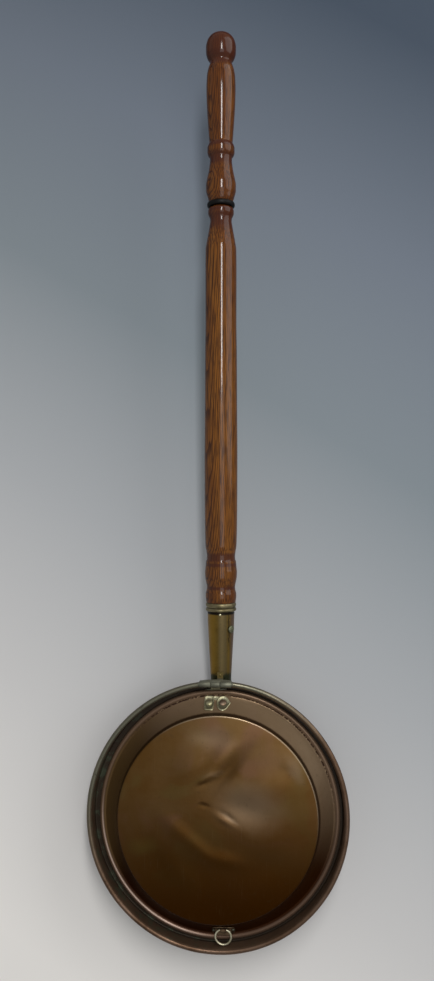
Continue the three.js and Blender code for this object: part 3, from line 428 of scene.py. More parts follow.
def pan_copper():
    """Brown copper, pinker along the crest at the near right, with verdigris and painted shade in the gap by
    the lid.
    """
    finish, shader, place = new_material("pan_copper", specular_ior_level=0.1)
    marks = tarnished(place, 22.0, 260.0)
    clouds = marks["Clouds"]
    colour = mixed(clouds, (0.075, 0.042, 0.024), (0.165, 0.100, 0.062))
    radius = from_axis(place, 0.0)
    height = along(place, (0, 0, 1))
    crest = between(height, PAN_HEIGHT - 0.004, PAN_HEIGHT)
    lower_right = between(along(place, (0.35, -0.94, 0)), -0.10, 0.10)
    colour = over(colour, (0.125, 0.080, 0.056), crest, lower_right, clouds)
    upper_left = between(along(place, (-0.5, 0.86, 0)), -0.02, 0.13)
    colour = over(colour, (0.135, 0.135, 0.098), crest, upper_left, 0.85)
    # Painted shade: the inner wall in the gap beside the lid is darker, and nearly black at its foot by the
    # ledge.
    in_gap = between(radius, WALL_RADIUS + 0.0010, WALL_RADIUS)
    inside = times(in_gap, between(height, LEDGE_HEIGHT - 0.0043, LEDGE_HEIGHT - 0.0003))
    colour = over(colour, (0.070, 0.042, 0.025), inside, 0.65)
    foot = between(height, LEDGE_HEIGHT + 0.0040, LEDGE_HEIGHT + 0.0010)
    colour = over(colour, (0.016, 0.013, 0.009), inside, foot, 0.8)
    left_side = between(along(place, (-0.95, -0.3, 0)), -0.05, 0.12)
    crusty = between(noise(place, 75.0, 6.0, Roughness=0.7), 0.50, 0.62)
    colour = over(colour, (0.050, 0.064, 0.040), inside, left_side, crusty, 0.6)
    colour = over(colour, (0.02, 0.012, 0.008), marks["Specks"], 0.6)
    feed(shader, base_color=colour)
    feed(shader, metallic=spread(inside, 0.85, 0.25), roughness=spread(clouds, 0.42, 0.30))
    set_bump(shader, marks["Height"], 0.25, 0.0006)
    return finish


pan_path = dense(bent(
    [
        (MIDDLE_HOLE, SHEET),
        (WALL_RADIUS - LEDGE_WIDTH - WALL_TAPER, SHEET),
        (WALL_RADIUS - LEDGE_WIDTH, LEDGE_HEIGHT),
        (WALL_RADIUS, LEDGE_HEIGHT),
        (WALL_RADIUS, PAN_HEIGHT - ROLL_RADIUS),
    ],
    [BASE_CORNER, LEDGE_FILLET, LEDGE_FILLET],
), PAN_STEP)
roll_centre = (RIM_RADIUS - ROLL_RADIUS, PAN_HEIGHT - ROLL_RADIUS)
pan_path = np.vstack([pan_path, arc(roll_centre, ROLL_RADIUS, np.pi, ROLL_END, ROLL_STEPS)[1:]])
pan_rows = spun_rows(sheet_profile(pan_path, SHEET), PAN_SIDES)
pan_rows = uneven(pan_rows, 0.0, PAN_WANDER, (2, 3, 5, 9, 14), 3)
pan_sheet = add_piece("pan_sheet", [skin(pan_rows)], pan_copper())
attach(pan_sheet, "root")
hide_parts("pan_body")

# ---------------------------------------------------------------- wires in the rolled edges
# Plain iron wire that stiffens both rolled edges. It shows only at the open seam of each
# roll, so the frame's own wires stay and get a dull brown-grey finish.
SPECK_SCALE = 500.0
SPECK_SHADE = 0.4
METAL_RELIEF = 0.0004


def plain_metal(name, dark, light, roughness, clouds=60.0, tint=None, **constants):
    """Aged metal of two tones with tarnish clouds and dark specks, and with a tint of its own
    where the piece needs one: a function of the place and the colour so far."""
    finish, shader, place = new_material(name, **{"metallic": 0.9, **constants})
    marks = tarnished(place, clouds, SPECK_SCALE)
    colour = mixed(marks["Clouds"], dark, light)
    colour = over(colour, tuple(value * SPECK_SHADE for value in dark), marks["Specks"], 0.7)
    if tint:
        colour = tint(place, colour)
    feed(shader, base_color=colour, roughness=spread(marks["Clouds"], roughness + 0.12, roughness))
    set_bump(shader, marks["Height"], 0.2, METAL_RELIEF)
    return finish


iron = plain_metal("iron_wire", (0.05, 0.042, 0.036), (0.13, 0.11, 0.10), 0.5)
for name in ("pan_rim_wire", "lid_rim_wire"):
    frame["nodes"][name].data.materials.clear()
    frame["nodes"][name].data.materials.append(iron)

# ---------------------------------------------------------------- lid
# One sheet of copper raised to a domed disc, with a hollow cove round it, a groove and a
# rolled edge. Knocks have left shallow dents and creases across the disc.
LID_X = 0.0015
LID_HEIGHT = 0.0556
LID_ROLL_RADIUS = 0.0032
LID_ROLL_CENTRE = 0.1403
LID_ROLL_ENDS = np.radians([125, -135])
GROOVE_RADIUS = 0.1363
GROOVE_HEIGHT = 0.001
DISC_RADIUS = 0.1171
DISC_HEIGHT = GROOVE_HEIGHT + 0.0276
DISC_EDGE = 0.0016
DISC_CROWN = 0.002
COVE_FOOT_SLOPE = np.radians(28)
LID_SIDES = 288
LID_STEP = 0.0016
LID_WANDER = 0.00016
DENT_MARGIN = 0.004
DENT_FADE = 0.02
# Knocks in the disc: middle x and y, half length, half width (mm), turn in degrees, depth (mm)
DENTS = [
    (33, 12, 28, 15, -12, -1.50), (13, 4, 11, 3.4, -30, -0.45), (10, -1, 12, 3.4, -30, 0.40),
    (-12, 15, 6, 2.2, 0, -0.34), (-12, 40, 10, 3, 24, -0.42), (-9, 48, 12, 3.6, 24, 0.30),
    (14, 54, 28, 8, 50, -1.15), (4, 70, 24, 8, 50, 0.70), (-30, 60, 22, 16, 20, 0.75),
    (-46, -12, 20, 9, -38, 1.00), (-21, -31, 20, 8, -36, 1.10), (8, -44, 20, 8, -10, 1.00),
    (-34, -48, 30, 12, -38, -0.55), (-80, -24, 12, 8, 10, -0.40), (84, 54, 14, 9, -30, -0.45),
    (62, 40, 20, 14, -20, 0.40), (-4, 92, 24, 9, 0, -0.50), (56, -52, 26, 16, 35, -0.40),
    (-60, 40, 26, 18, 60, -0.35),
]
# Patches on the disc, most of them painted highlights and painted shade on the knocks and creases, a few of
# them tarnish: as the knocks, with a strength and a colour
HIGHLIGHT_SHADE_AND_TARNISH = [
    (-6, 90, 26, 14, -14, 0.42, (0.195, 0.138, 0.084)),
    (16, 58, 36, 9, 50, 0.60, (0.050, 0.024, 0.007)),
    (56, 74, 30, 18, -24, 0.35, (0.070, 0.040, 0.018)),
    (38, 16, 36, 24, -12, 0.70, (0.165, 0.112, 0.068)),
    (92, 58, 14, 9, -60, 0.30, (0.210, 0.150, 0.100)),
    (-84, -32, 16, 10, 10, 0.45, (0.080, 0.056, 0.014)),
    (-54, -50, 34, 16, -42, 0.55, (0.034, 0.014, 0.002)),
    (40, -28, 36, 12, -14, 0.45, (0.050, 0.024, 0.006)),
    (16, 3, 11, 3.0, -32, 0.30, (0.330, 0.230, 0.150)),
    (-3, 50, 11, 3.0, 18, 0.25, (0.210, 0.140, 0.084)),
    (-15, 40, 9, 2.6, 18, 0.60, (0.030, 0.013, 0.004)),
    (-14, 16, 6, 2.0, -6, 0.70, (0.026, 0.011, 0.003)),
]

cove_top = np.array([DISC_RADIUS, DISC_HEIGHT - DISC_EDGE])
cove_foot = np.array([GROOVE_RADIUS, GROOVE_HEIGHT])
cove_run, cove_drop = np.abs(cove_foot - cove_top)
cove_head_slope = 2 * np.arctan2(cove_drop, cove_run) - COVE_FOOT_SLOPE
cove_radius = np.hypot(cove_run, cove_drop) / (2 * np.sin((cove_head_slope - COVE_FOOT_SLOPE) / 2))
cove_centre = cove_foot + cove_radius * np.array([np.sin(COVE_FOOT_SLOPE), np.cos(COVE_FOOT_SLOPE)])
cove_ends = (-np.pi / 2 - cove_head_slope, -np.pi / 2 - COVE_FOOT_SLOPE)


def dented(rows):
    """Height added to the disc: a bell curve for each knock, its square reach measured along
    and across the knock, all fading out towards the disc's edge."""
    x, y, z = rows[..., 0] * 1000, rows[..., 1] * 1000, rows[..., 2]
    added = np.zeros_like(x)
    for middle_x, middle_y, length, width, degrees, depth in DENTS:
        cos, sin = np.cos(np.radians(degrees)), np.sin(np.radians(degrees))
        right, up = x - middle_x, y - middle_y
        reach = ((right * cos + up * sin) / length) ** 2 + ((up * cos - right * sin) / width) ** 2
        added += depth * np.exp(-reach)
    radius = np.hypot(rows[..., 0] - LID_X, rows[..., 1])
    fade = np.clip((DISC_RADIUS - DENT_MARGIN - radius) / DENT_FADE, 0, 1)
    return np.stack([rows[..., 0], rows[..., 1], z + added / 1000 * fade * fade * (3 - 2 * fade)], -1)


def patched(place, colour):
    """The colour with every patch laid over it, painted highlights and shade among them: each reaches to
    its half sizes round its middle, along lines that slow noise has bent, and has a soft edge."""
    wander = vector("SUBTRACT", noise(place, 34.0, 4.0, "Color"), (0.5, 0.5, 0.5))
    bent_place = level(vector("MULTIPLY_ADD", wander, (0.020, 0.020, 0), place))
    for x, y, length, width, degrees, strength, tone in HIGHLIGHT_SHADE_AND_TARNISH:
        local = mapped(
            bent_place, "TEXTURE", Location=(x / 1000, y / 1000, 0),
            Rotation=(0, 0, np.radians(degrees)), Scale=(length / 1000, width / 1000, 1),
        )
        reached = between(vector("LENGTH", local, result="Value"), 1.6, 0.1)
        colour = over(colour, tone, reached, strength)
    return colour


def disc_colour(place, clouds):
    """Soft brown shine, olive and reddish in clouds, with painted shade that turns it almost black at the
    near side.
    """
    colour = mixed(clouds, (0.092, 0.044, 0.011), (0.130, 0.074, 0.028))
    second = noise(place, 14.0, 3.0, Distortion=0.8)
    colour = over(colour, (0.135, 0.069, 0.040), between(second, 0.52, 0.68), 0.6)
    colour = over(colour, (0.105, 0.072, 0.023), between(second, 0.46, 0.32), 0.45)
    # Painted shade: the disc goes almost black towards its near side.
    far_side = between(along(place, (-0.15, 0.99, 0)), -0.115, 0.085)
    return patched(place, mixed(far_side, (0.036, 0.0110, 0.0002), colour))


def cove_colour(place):
    """Painted light and shade on the cove: pale towards the far right, brown at the left and almost black at
    the near side.
    """
    far_right = between(along(place, (0.45, 0.89, 0)), -0.010, 0.128)
    left = between(along(place, (-0.97, 0.24, 0)), 0.080, 0.125)
    colour = mixed(far_right, (0.020, 0.0045, 0.0004), (0.245, 0.172, 0.105))
    return over(colour, (0.085, 0.050, 0.018), left, 0.8)


def lid_copper():
    """Worn copper, with a painted highlight along the roll at the near left, black dirt that flakes out of
    the groove, and at the disc's edge a painted highlight at the far right and a ragged line of painted
    shade just past it."""
    finish, shader, place = new_material("lid_copper", specular_ior_level=0.1)
    marks = tarnished(place, 9.0, 220.0)
    clouds = marks["Clouds"]
    radius = from_axis(place, LID_X)
    colour = disc_colour(place, clouds)
    in_cove = between(radius, DISC_RADIUS, DISC_RADIUS + 0.003)
    colour = mixed(in_cove, colour, mixed(times(clouds, 0.35), cove_colour(place), colour))
    rolled = between(radius, GROOVE_RADIUS + 0.0010, GROOVE_RADIUS + 0.0024)
    colour = over(colour, (0.125, 0.078, 0.052), rolled, 0.75)
    # Painted highlight: a pale line along the roll at the near left.
    roll_highlight = band(radius, LID_ROLL_CENTRE - 0.0010, 0.0004, 0.0009)
    near_left = between(along(place, (-0.76, -0.65, 0)), 0.085, 0.130)
    colour = over(colour, (0.42, 0.31, 0.25), roll_highlight, near_left, 0.7)
    groove = band(radius, GROOVE_RADIUS + 0.0004, 0.0005, 0.0012)
    crust = noise(place, 420.0, 3.0)
    far_side = between(along(place, (0.30, 0.95, 0)), 0.02, 0.10)
    colour = over(colour, (0.022, 0.008, 0.004), groove, between(crust, 0.34, 0.54), far_side)
    # Painted highlight: a pale line along the disc's rounded edge at the far right.
    edge_highlight = band(radius, DISC_RADIUS - 0.0011, 0.0003, 0.0006)
    far_right = between(along(place, (0.5, 0.87, 0)), 0.03, 0.09)
    colour = over(colour, (0.52, 0.44, 0.33), edge_highlight, far_right, 0.25)
    # Painted shade: a ragged dark line on the steep top of the cove, just past the disc's edge.
    past_edge = scalar("SUBTRACT", radius, scalar("MULTIPLY_ADD", crust, 0.0016, DISC_RADIUS - 0.0002))
    colour = over(colour, (0.02, 0.008, 0.003), band(past_edge, 0.0004, 0.0005, 0.0010), 0.7)
    colour = over(colour, (0.30, 0.22, 0.13), marks["Scratches"], 0.05)
    colour = over(colour, (0.05, 0.03, 0.015), marks["Specks"], 0.25)
    feed(shader, base_color=colour)
    feed(shader, metallic=spread(in_cove, 0.92, 0.45), roughness=spread(clouds, 0.40, 0.30))
    set_bump(shader, marks["Height"], 0.16, 0.0008)
    return finish


crown_radii = np.arange(MIDDLE_HOLE, DISC_RADIUS - DISC_EDGE, LID_STEP)
crown_share = crown_radii / (DISC_RADIUS - DISC_EDGE)
lid_path = np.vstack([
    np.stack([crown_radii, DISC_HEIGHT + DISC_CROWN * (1 - crown_share**2)], 1),
    arc((DISC_RADIUS - DISC_EDGE, DISC_HEIGHT - DISC_EDGE), DISC_EDGE, np.pi / 2, 0, 8),
    arc(cove_centre, cove_radius, *cove_ends, 26)[1:],
    arc((LID_ROLL_CENTRE, 0), LID_ROLL_RADIUS, *LID_ROLL_ENDS, ROLL_STEPS),
])
lid_profile = sheet_profile(lid_path, SHEET) + (0, LID_HEIGHT)
lid_rows = dented(spun_rows(lid_profile, LID_SIDES, LID_X))
lid_rows = uneven(lid_rows, LID_X, LID_WANDER, (2, 3, 7, 11), 8)
lid_sheet = add_piece("lid_sheet", [skin(lid_rows)], lid_copper())
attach(lid_sheet, "lid")
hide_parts("lid_shell")

# ---------------------------------------------------------------- hinge
# Brass bracket clipped over the pan's rolled rim, with two knuckles and a tongue riveted to
# the socket; a pin through it carries the strap that is riveted under the lid.
GAP = 0.0003
BRASS = 0.0015
HINGE_X = -0.0025
HINGE_LENGTH = 0.038
CENTRE_KNUCKLE = 0.011
BARREL_RADIUS = 0.0034
BARREL_EASE = 0.0003
BARREL_SIDES = 32
PIN_RADIUS = 0.0016
PIN_HEAD = (0.0026, 0.0014)
HINGE_Y = RIM_RADIUS - ROLL_RADIUS
HINGE_HEIGHT = PAN_HEIGHT + BRASS + 2 * GAP + BARREL_RADIUS
CLIP_ENDS = np.radians([120, -35])
TONGUE = (0.0034, 0.0115)
TONGUE_WIDTH = 0.007
TONGUE_RIVET = (0.0009, 0.0016, 0.0009, 0.0042)
STRAP_WIDTH = 0.025
STRAP_UPRIGHT = 0.1443
STRAP_LAP = 0.005
STRAP_NECK = 0.006
NECK_HEIGHT = GROOVE_HEIGHT + 0.012
PLATE_RADIUS = 0.128
HANDLE_X = 0.0025
HANDLE_RAKE = np.radians(6.3)
HANDLE_ROOT = np.array([HANDLE_X, RIM_RADIUS, PAN_HEIGHT - 0.022])
HANDLE_ALONG = np.array([0, np.cos(HANDLE_RAKE), np.sin(HANDLE_RAKE)])
HANDLE_UP = np.array([0, -np.sin(HANDLE_RAKE), np.cos(HANDLE_RAKE)])
HANDLE_ACROSS = np.array([1.0, 0, 0])
SOCKET_LENGTH = 0.0815
SOCKET_RADII = (0.0123, 0.0163)
SOCKET_SWELL = 0.0003


def turned(profile, origin, axis, sides, joined=False):
    """Skin of a form turned about any axis: (place, radius) of the profile, carried round."""
    axis = np.array(axis, float)
    first = HANDLE_ACROSS if abs(axis[0]) < 0.9 else np.array([0.0, 0, 1])
    first = np.cross(axis, np.cross(first, axis))
    first /= np.linalg.norm(first)
    second = np.cross(axis, first)
    around = np.linspace(0, 2 * np.pi, sides, endpoint=False)[:, None]
    ring = np.cos(around) * first + np.sin(around) * second
    place, radius = profile[:, 0], profile[:, 1]
    rows = np.array(origin) + place[:, None, None] * axis + radius[:, None, None] * ring
    return skin(rows, joined)


def tube(radius, bore, start, end, ease):
    """Closed outline, as (place, radius), of a tube with eased ends."""
    return np.array([
        (start, bore), (start, radius - ease), (start + ease, radius),
        (end - ease, radius), (end, radius - ease), (end, bore),
    ])


def domed(shank, head, height, tail):
    """Rivet or nail from its tail to the top of its domed head, as (place, radius)."""
    angles = np.linspace(0, np.pi / 2, 9)[:-1]
    dome = np.stack([height * (0.15 + 0.85 * np.sin(angles)), head * np.cos(angles)], 1)
    return np.vstack([[(-tail, shank * 0.6), (-tail, shank), (-0.00005, shank), (0, head * 0.97)], dome])


def ribbon(path, width, thickness, place):
    """Skin of a sheet that follows a path in the Y-Z plane: across is the share -1 to 1 of the
    half width at each point, place turns (across, y, z) into points, edges slightly rounded."""
    across = np.array([-1, -0.985, -0.5, 0, 0.5, 0.985, 1])
    inset = thickness * np.array([0.25, 0, 0, 0, 0, 0, 0.25])
    width = np.broadcast_to(width, len(path))
    normals = beside(path, 1.0) - path
    near = path[:, None] + inset[:, None] * normals[:, None]
    far = path[:, None] + (thickness - inset)[:, None] * normals[:, None]
    sideways = across * width[:, None] / 2
    loops = [np.concatenate([near[..., i], far[:, ::-1, i]], 1) for i in range(2)]
    return skin(place(np.concatenate([sideways, sideways[:, ::-1]], 1), *loops))


def flat_across(middle):
    """Placing for a ribbon that runs straight across the hinge."""
    return lambda sideways, y, z: np.stack([middle + sideways, y, z], -1)


def round_across(middle, centre_x, lift=0.0):
    """Placing for a ribbon that bends round an upright axis, as the rims do: the path's first
    value is its distance from that axis."""
    def place(sideways, radius, z):
        x = middle + sideways - centre_x
        return np.stack([middle + sideways, np.sqrt(radius**2 - x**2), z + lift], -1)
    return place


def socket_radius(place):
    """Outer radius of the socket at a place along the handle, fullest a little before its mouth."""
    share = place / SOCKET_LENGTH
    root, mouth = SOCKET_RADII
    return root + (mouth - root) * share + SOCKET_SWELL * np.sin(np.pi * share**2)


def over_socket(place):
    """Point in the Y-Z plane a gap above the socket, at a place along the handle."""
    return (HANDLE_ROOT + place * HANDLE_ALONG + (socket_radius(place) + GAP) * HANDLE_UP)[1:]


def olive_tongue(place, colour):
    """The tongue's brass is olive like the socket it lies on."""
    past_rim = between(along(place, (0, 1, 0)), RIM_RADIUS + 0.0012, RIM_RADIUS + 0.0035)
    return over(colour, (0.135, 0.100, 0.035), past_rim)


aged_brass = plain_metal(
    "aged_brass", (0.115, 0.115, 0.085), (0.185, 0.182, 0.135), 0.55, clouds=90.0, tint=olive_tongue,
)
knuckle = (HINGE_LENGTH - CENTRE_KNUCKLE) / 2 - GAP
hinge_line = (HINGE_X, HINGE_Y, HINGE_HEIGHT)
clip_path = arc(roll_centre, ROLL_RADIUS + GAP, *CLIP_ENDS, 22)
leaf_heights = np.linspace(PAN_HEIGHT + 0.0005, HINGE_HEIGHT + 0.0006, 6)
leaf_path = np.stack([np.full(6, HINGE_Y + BARREL_RADIUS), leaf_heights], 1)
bracket_skins = [ribbon(clip_path, HINGE_LENGTH, -BRASS, round_across(HINGE_X, 0.0))]
for side in (-1, 1):
    middle = side * (HINGE_LENGTH - knuckle) / 2
    ends = (middle - knuckle / 2, middle + knuckle / 2)
    outline = tube(BARREL_RADIUS, PIN_RADIUS + GAP, *ends, BARREL_EASE)
    bracket_skins.append(turned(outline, hinge_line, (1, 0, 0), BARREL_SIDES, joined=True))
    bracket_skins.append(ribbon(leaf_path, knuckle, -BRASS, flat_across(HINGE_X + middle)))
tongue_corners = [clip_path[-2], over_socket(TONGUE[0]), over_socket(TONGUE[1])]
tongue_path = dense(bent(tongue_corners, [BRASS], 6), 0.001)
bracket_skins.append(ribbon(tongue_path, TONGUE_WIDTH, -BRASS, flat_across(HANDLE_X)))
bracket = add_piece("rim_bracket", bracket_skins, aged_brass, 50)
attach(bracket, "root")
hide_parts("hinge_bracket")

pin_half = HINGE_LENGTH / 2 + GAP
pin_head = domed(PIN_RADIUS, *PIN_HEAD, 0.0)[3:]
pin_profile = np.vstack([
    (-pin_head[::-1] * (1, -1)) - (pin_half, 0),
    [(-pin_half, PIN_RADIUS), (pin_half, PIN_RADIUS)],
    pin_head + (pin_half, 0),
])
pin = add_piece("pivot_pin", [turned(pin_profile, hinge_line, (1, 0, 0), 28)], aged_brass, 50)
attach(pin, "root")
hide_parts("hinge_pin")

rivet_place = (TONGUE[1] + TONGUE[0]) / 2 + 0.0004
rivet_seat = HANDLE_ROOT + rivet_place * HANDLE_ALONG
rivet_seat = rivet_seat + (socket_radius(rivet_place) + GAP + BRASS) * HANDLE_UP
rivet_skin = turned(domed(*TONGUE_RIVET), rivet_seat, HANDLE_UP, 24)
tongue_rivet = add_piece("tongue_rivet", [rivet_skin], aged_brass, 50)
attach(tongue_rivet, "root")
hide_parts("bracket_rivet")

strap_under = -LID_ROLL_RADIUS - GAP
strap_cove = arc(cove_centre, cove_radius + SHEET + GAP, *cove_ends, 24)
strap_cove = strap_cove[strap_cove[:, 0] > PLATE_RADIUS - STRAP_LAP]
strap_path = dense(bent(
    [
        strap_cove[-1],
        (GROOVE_RADIUS + 0.0002, -SHEET - 0.0008),
        (GROOVE_RADIUS + 0.0006, strap_under),
        (STRAP_UPRIGHT, strap_under),
        (STRAP_UPRIGHT, NECK_HEIGHT),
        (HINGE_Y - BARREL_RADIUS + GAP, HINGE_HEIGHT - LID_HEIGHT),
    ],
    [0.0005, BRASS * 0.6, 0.0024, 0.003],
), 0.0009)
strap_path = np.vstack([strap_cove[:-1], strap_path])
narrowing = np.clip((strap_path[:, 1] - NECK_HEIGHT + STRAP_NECK) / STRAP_NECK, 0, 1)
narrowing = narrowing * (strap_path[:, 0] > STRAP_UPRIGHT - 0.001)
strap_width = STRAP_WIDTH + (CENTRE_KNUCKLE - STRAP_WIDTH) * narrowing
centre_ends = (-CENTRE_KNUCKLE / 2, CENTRE_KNUCKLE / 2)
centre_outline = tube(BARREL_RADIUS, PIN_RADIUS + GAP, *centre_ends, BARREL_EASE)
strap = add_piece("lid_strap", [
    ribbon(strap_path, strap_width, BRASS, round_across(HINGE_X, LID_X, LID_HEIGHT)),
    turned(centre_outline, hinge_line, (1, 0, 0), BARREL_SIDES, joined=True),
], aged_brass, 50)
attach(strap, "lid")
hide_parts("hinge_strap")

# ---------------------------------------------------------------- two-lobed plate
# Small cut brass plate on top of the lid's cove over the strap: a squared lobe and a round
# one with a pointed tip, each with a raised bright edge round a domed rivet.
PLATE_SHEET = 0.0013
PLATE_X = -0.0024
LOBE_SPACING = 0.0164
LOBE_HALF = 0.0076
LOBE_FLAT = 0.0060
LOBE_TIP = np.radians(38)
LOBE_SIDES = 96
LEFT_LOBE_HALF_WIDTH = 0.0059
NECK_HALF = (0.0042, 0.0021)
NECK_LIFT = 0.8
PLATE_RIVET = (0.0017, 0.0043, 0.0017, 0.0052)
# From a lobe's middle over its raised edge and back under: share of its size, share of its lift
RIMMED = [
    (0.05, 0.40), (0.45, 0.40), (0.70, 0.42), (0.77, 0.55), (0.82, 0.92), (0.88, 1.0), (0.95, 0.96),
    (0.985, 0.75), (1.0, 0.45), (0.99, 0.1), (0.96, 0.0), (0.5, 0.0), (0.05, 0.0),
]


def cove_seat(x, y, lift):
    """Point over the lid's cove: on the cove's arc at its distance from the lid's axis, then
    lifted along the cove's normal."""
    right = x - LID_X
    radius = np.hypot(right, y)
    run = cove_centre[0] - radius
    height = cove_centre[1] - np.sqrt(cove_radius**2 - run**2)
    slope = np.arcsin(run / cove_radius)
    out = lift * np.sin(slope) / radius
    return np.stack([x + right * out, y + y * out, LID_HEIGHT + height + lift * np.cos(slope)], -1)


def cove_normal(x, y):
    """Unit normal of the cove at a point."""
    return (cove_seat(x, y, 0.001) - cove_seat(x, y, 0.0)) / 0.001


def plate_skin(outline, middle, layers, seat):
    """Plate over a curved seat. Layers are (share, lift): each row is the outline drawn in to a
    share of its size round its middle, at that lift, from the top's middle to the bottom's."""
    share, lift = np.array(layers).T
    flat = np.array(middle) + share[:, None, None] * (outline - np.array(middle))
    lifts = np.broadcast_to(lift[:, None], flat.shape[:2])
    return skin(seat(flat[..., 0], flat[..., 1], lifts))


def squared_outline(middle, half_width, half_height, power=5.0):
    """Rounded rectangle as a superellipse: the power of each coordinate's share sums to one."""
    angles = np.linspace(0, 2 * np.pi, LOBE_SIDES, endpoint=False)
    cos, sin = np.cos(angles), np.sin(angles)
    reach = (np.abs(cos) ** power + np.abs(sin) ** power) ** (-1 / power)
    return np.array(middle) + np.stack([half_width * cos * reach, half_height * sin * reach], 1)


def pointed_outline(middle, radius):
    """Circle whose side towards +X runs out to a point between two tangents."""
    angles = np.linspace(-np.pi, np.pi, LOBE_SIDES, endpoint=False)
    near = np.abs(angles) < LOBE_TIP
    reach = np.where(near, 1 / np.cos(LOBE_TIP - np.abs(angles)), 1.0)
    return np.array(middle) + radius * np.stack([np.cos(angles) * reach, np.sin(angles) * reach], 1)


rimmed_layers = [(share, GAP + lift * PLATE_SHEET) for share, lift in RIMMED]
neck_layers = [(share, GAP + lift * PLATE_SHEET * NECK_LIFT) for share, lift in RIMMED]
left_lobe = (PLATE_X - LOBE_SPACING / 2, PLATE_RADIUS)
right_lobe = (PLATE_X + LOBE_SPACING / 2, PLATE_RADIUS)
neck_middle = (PLATE_X, PLATE_RADIUS + LOBE_HALF * 0.62)


def dull_flats(place, colour):
    """The flats inside the lobes' raised edges are darker and olive, as nobody rubs them."""
    for middle in (left_lobe, right_lobe):
        off = vector("DISTANCE", level(place), (*middle, 0), result="Value")
        colour = over(colour, (0.250, 0.240, 0.160), between(off, LOBE_FLAT, LOBE_FLAT - 0.0010), 0.8)
    return colour


plate_brass = plain_metal(
    "plate_brass", (0.36, 0.33, 0.19), (0.66, 0.62, 0.42), 0.34, clouds=150.0, tint=dull_flats,
)
bright_brass = plain_metal("bright_brass", (0.30, 0.27, 0.15), (0.62, 0.58, 0.38), 0.34, clouds=150.0)
copper_rivet = plain_metal("copper_rivet", (0.19, 0.125, 0.080), (0.32, 0.235, 0.17), 0.42, clouds=200.0)
left_outline = squared_outline(left_lobe, LEFT_LOBE_HALF_WIDTH, LOBE_HALF)
plate = add_piece("lobed_plate", [
    plate_skin(left_outline, left_lobe, rimmed_layers, cove_seat),
    plate_skin(pointed_outline(right_lobe, LOBE_HALF), right_lobe, rimmed_layers, cove_seat),
    plate_skin(squared_outline(neck_middle, *NECK_HALF, 3.0), neck_middle, neck_layers, cove_seat),
], plate_brass, 60)
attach(plate, "lid")
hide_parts("hinge_plate")

plate_rivets = [
    ("left", left_lobe, bright_brass, "bright_brass"),
    ("right", right_lobe, copper_rivet, "copper_rivet"),
]
for side, (x, y), finish, slot_name in plate_rivets:
    seat = cove_seat(x, y, GAP + 0.7 * PLATE_SHEET)
    rivet_skin = turned(domed(*PLATE_RIVET), seat, cove_normal(x, y), 32)
    made = add_piece(f"lid_rivet_{side}", [rivet_skin], finish, 60)
    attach(made, "lid")
    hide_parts(f"plate_rivet_{side}")

# ---------------------------------------------------------------- lifting ring and its saddle
# Pale brass wire bent to a ring and soldered, its straight bar held in the curl of a small
# riveted saddle. The saddle's pad keeps the ring off the lid.
RING_X = 0.0082
RING_RADIUS = 0.0092
RING_WIRE = 0.0012
RING_BAR = 0.0094
RING_TILT = np.radians(8)
RING_JOIN = (-0.002, 0.0016, 0.22)
CURL_SHEET = 0.0012
CURL_LENGTH = 0.0076
SADDLE_RADIUS = 0.1306
SADDLE_HALF = (0.0135, 0.0052)
SADDLE_RIVETS = 0.0226
SADDLE_PIN = (0.0009, 0.0016, 0.0009, 0.0028)
# From the saddle's middle over its edge and back under: share of its size, share of its lift
EAR = [
    (0.05, 1.0), (0.6, 1.0), (0.93, 1.0), (0.98, 0.85),
    (1.0, 0.5), (0.99, 0.15), (0.96, 0.0), (0.05, 0.0),
]
PAD_SHARES = np.array([-1, -0.9, -0.5, 0, 0.5, 0.9, 1])
PAD_ROWS = 8
PAD_START = 0.001
PAD_ROUNDING = 0.0006
PAD_LEAST = 0.0002
# The bar's line is the frame's second joint.
ring_pivot = np.array(frame["joints"][1]["pos_m"])


def ring_rows():
    """Round wire carried along a closed path: an arc and the bar that closes it, drawn in the
    ring's plane and tilted about the bar. The wire swells a little at its soldered join."""
    to_centre = np.sqrt(RING_RADIUS**2 - (RING_BAR / 2) ** 2)
    corner = np.arcsin(RING_BAR / 2 / RING_RADIUS)
    loop = arc((0, -to_centre), RING_RADIUS, np.pi / 2 - corner, -3 * np.pi / 2 + corner, 100)
    bar = np.stack([np.linspace(-RING_BAR / 2, RING_BAR / 2, 22)[1:-1], np.zeros(20)], 1)
    path = np.vstack([loop, bar])
    forward = np.roll(path, -1, 0) - np.roll(path, 1, 0)
    forward /= np.linalg.norm(forward, axis=1, keepdims=True)
    side = np.stack([forward[:, 1], -forward[:, 0]], 1)
    join_x, join_reach, swell = RING_JOIN
    join = np.exp(-(((path[:, 0] - join_x) / join_reach) ** 2)) * (path[:, 1] < -to_centre)
    wire = RING_WIRE * (1 + swell * join)
    around = np.linspace(0, 2 * np.pi, 20, endpoint=False)
    flat = path[:, None] + wire[:, None, None] * np.cos(around)[None, :, None] * side[:, None]
    rise = wire[:, None] * np.sin(around)
    cos, sin = np.cos(RING_TILT), np.sin(RING_TILT)
    y = flat[..., 1] * cos - rise * sin
    z = flat[..., 1] * sin + rise * cos
    return ring_pivot + np.stack([flat[..., 0], y, z], -1)


ring_brass = plain_metal("ring_brass", (0.38, 0.34, 0.22), (0.72, 0.67, 0.49), 0.32, clouds=220.0)
lifting_ring = add_piece("wire_ring", [skin(ring_rows(), joined=True)], ring_brass)
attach(lifting_ring, "ring")
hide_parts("lifting_ring")

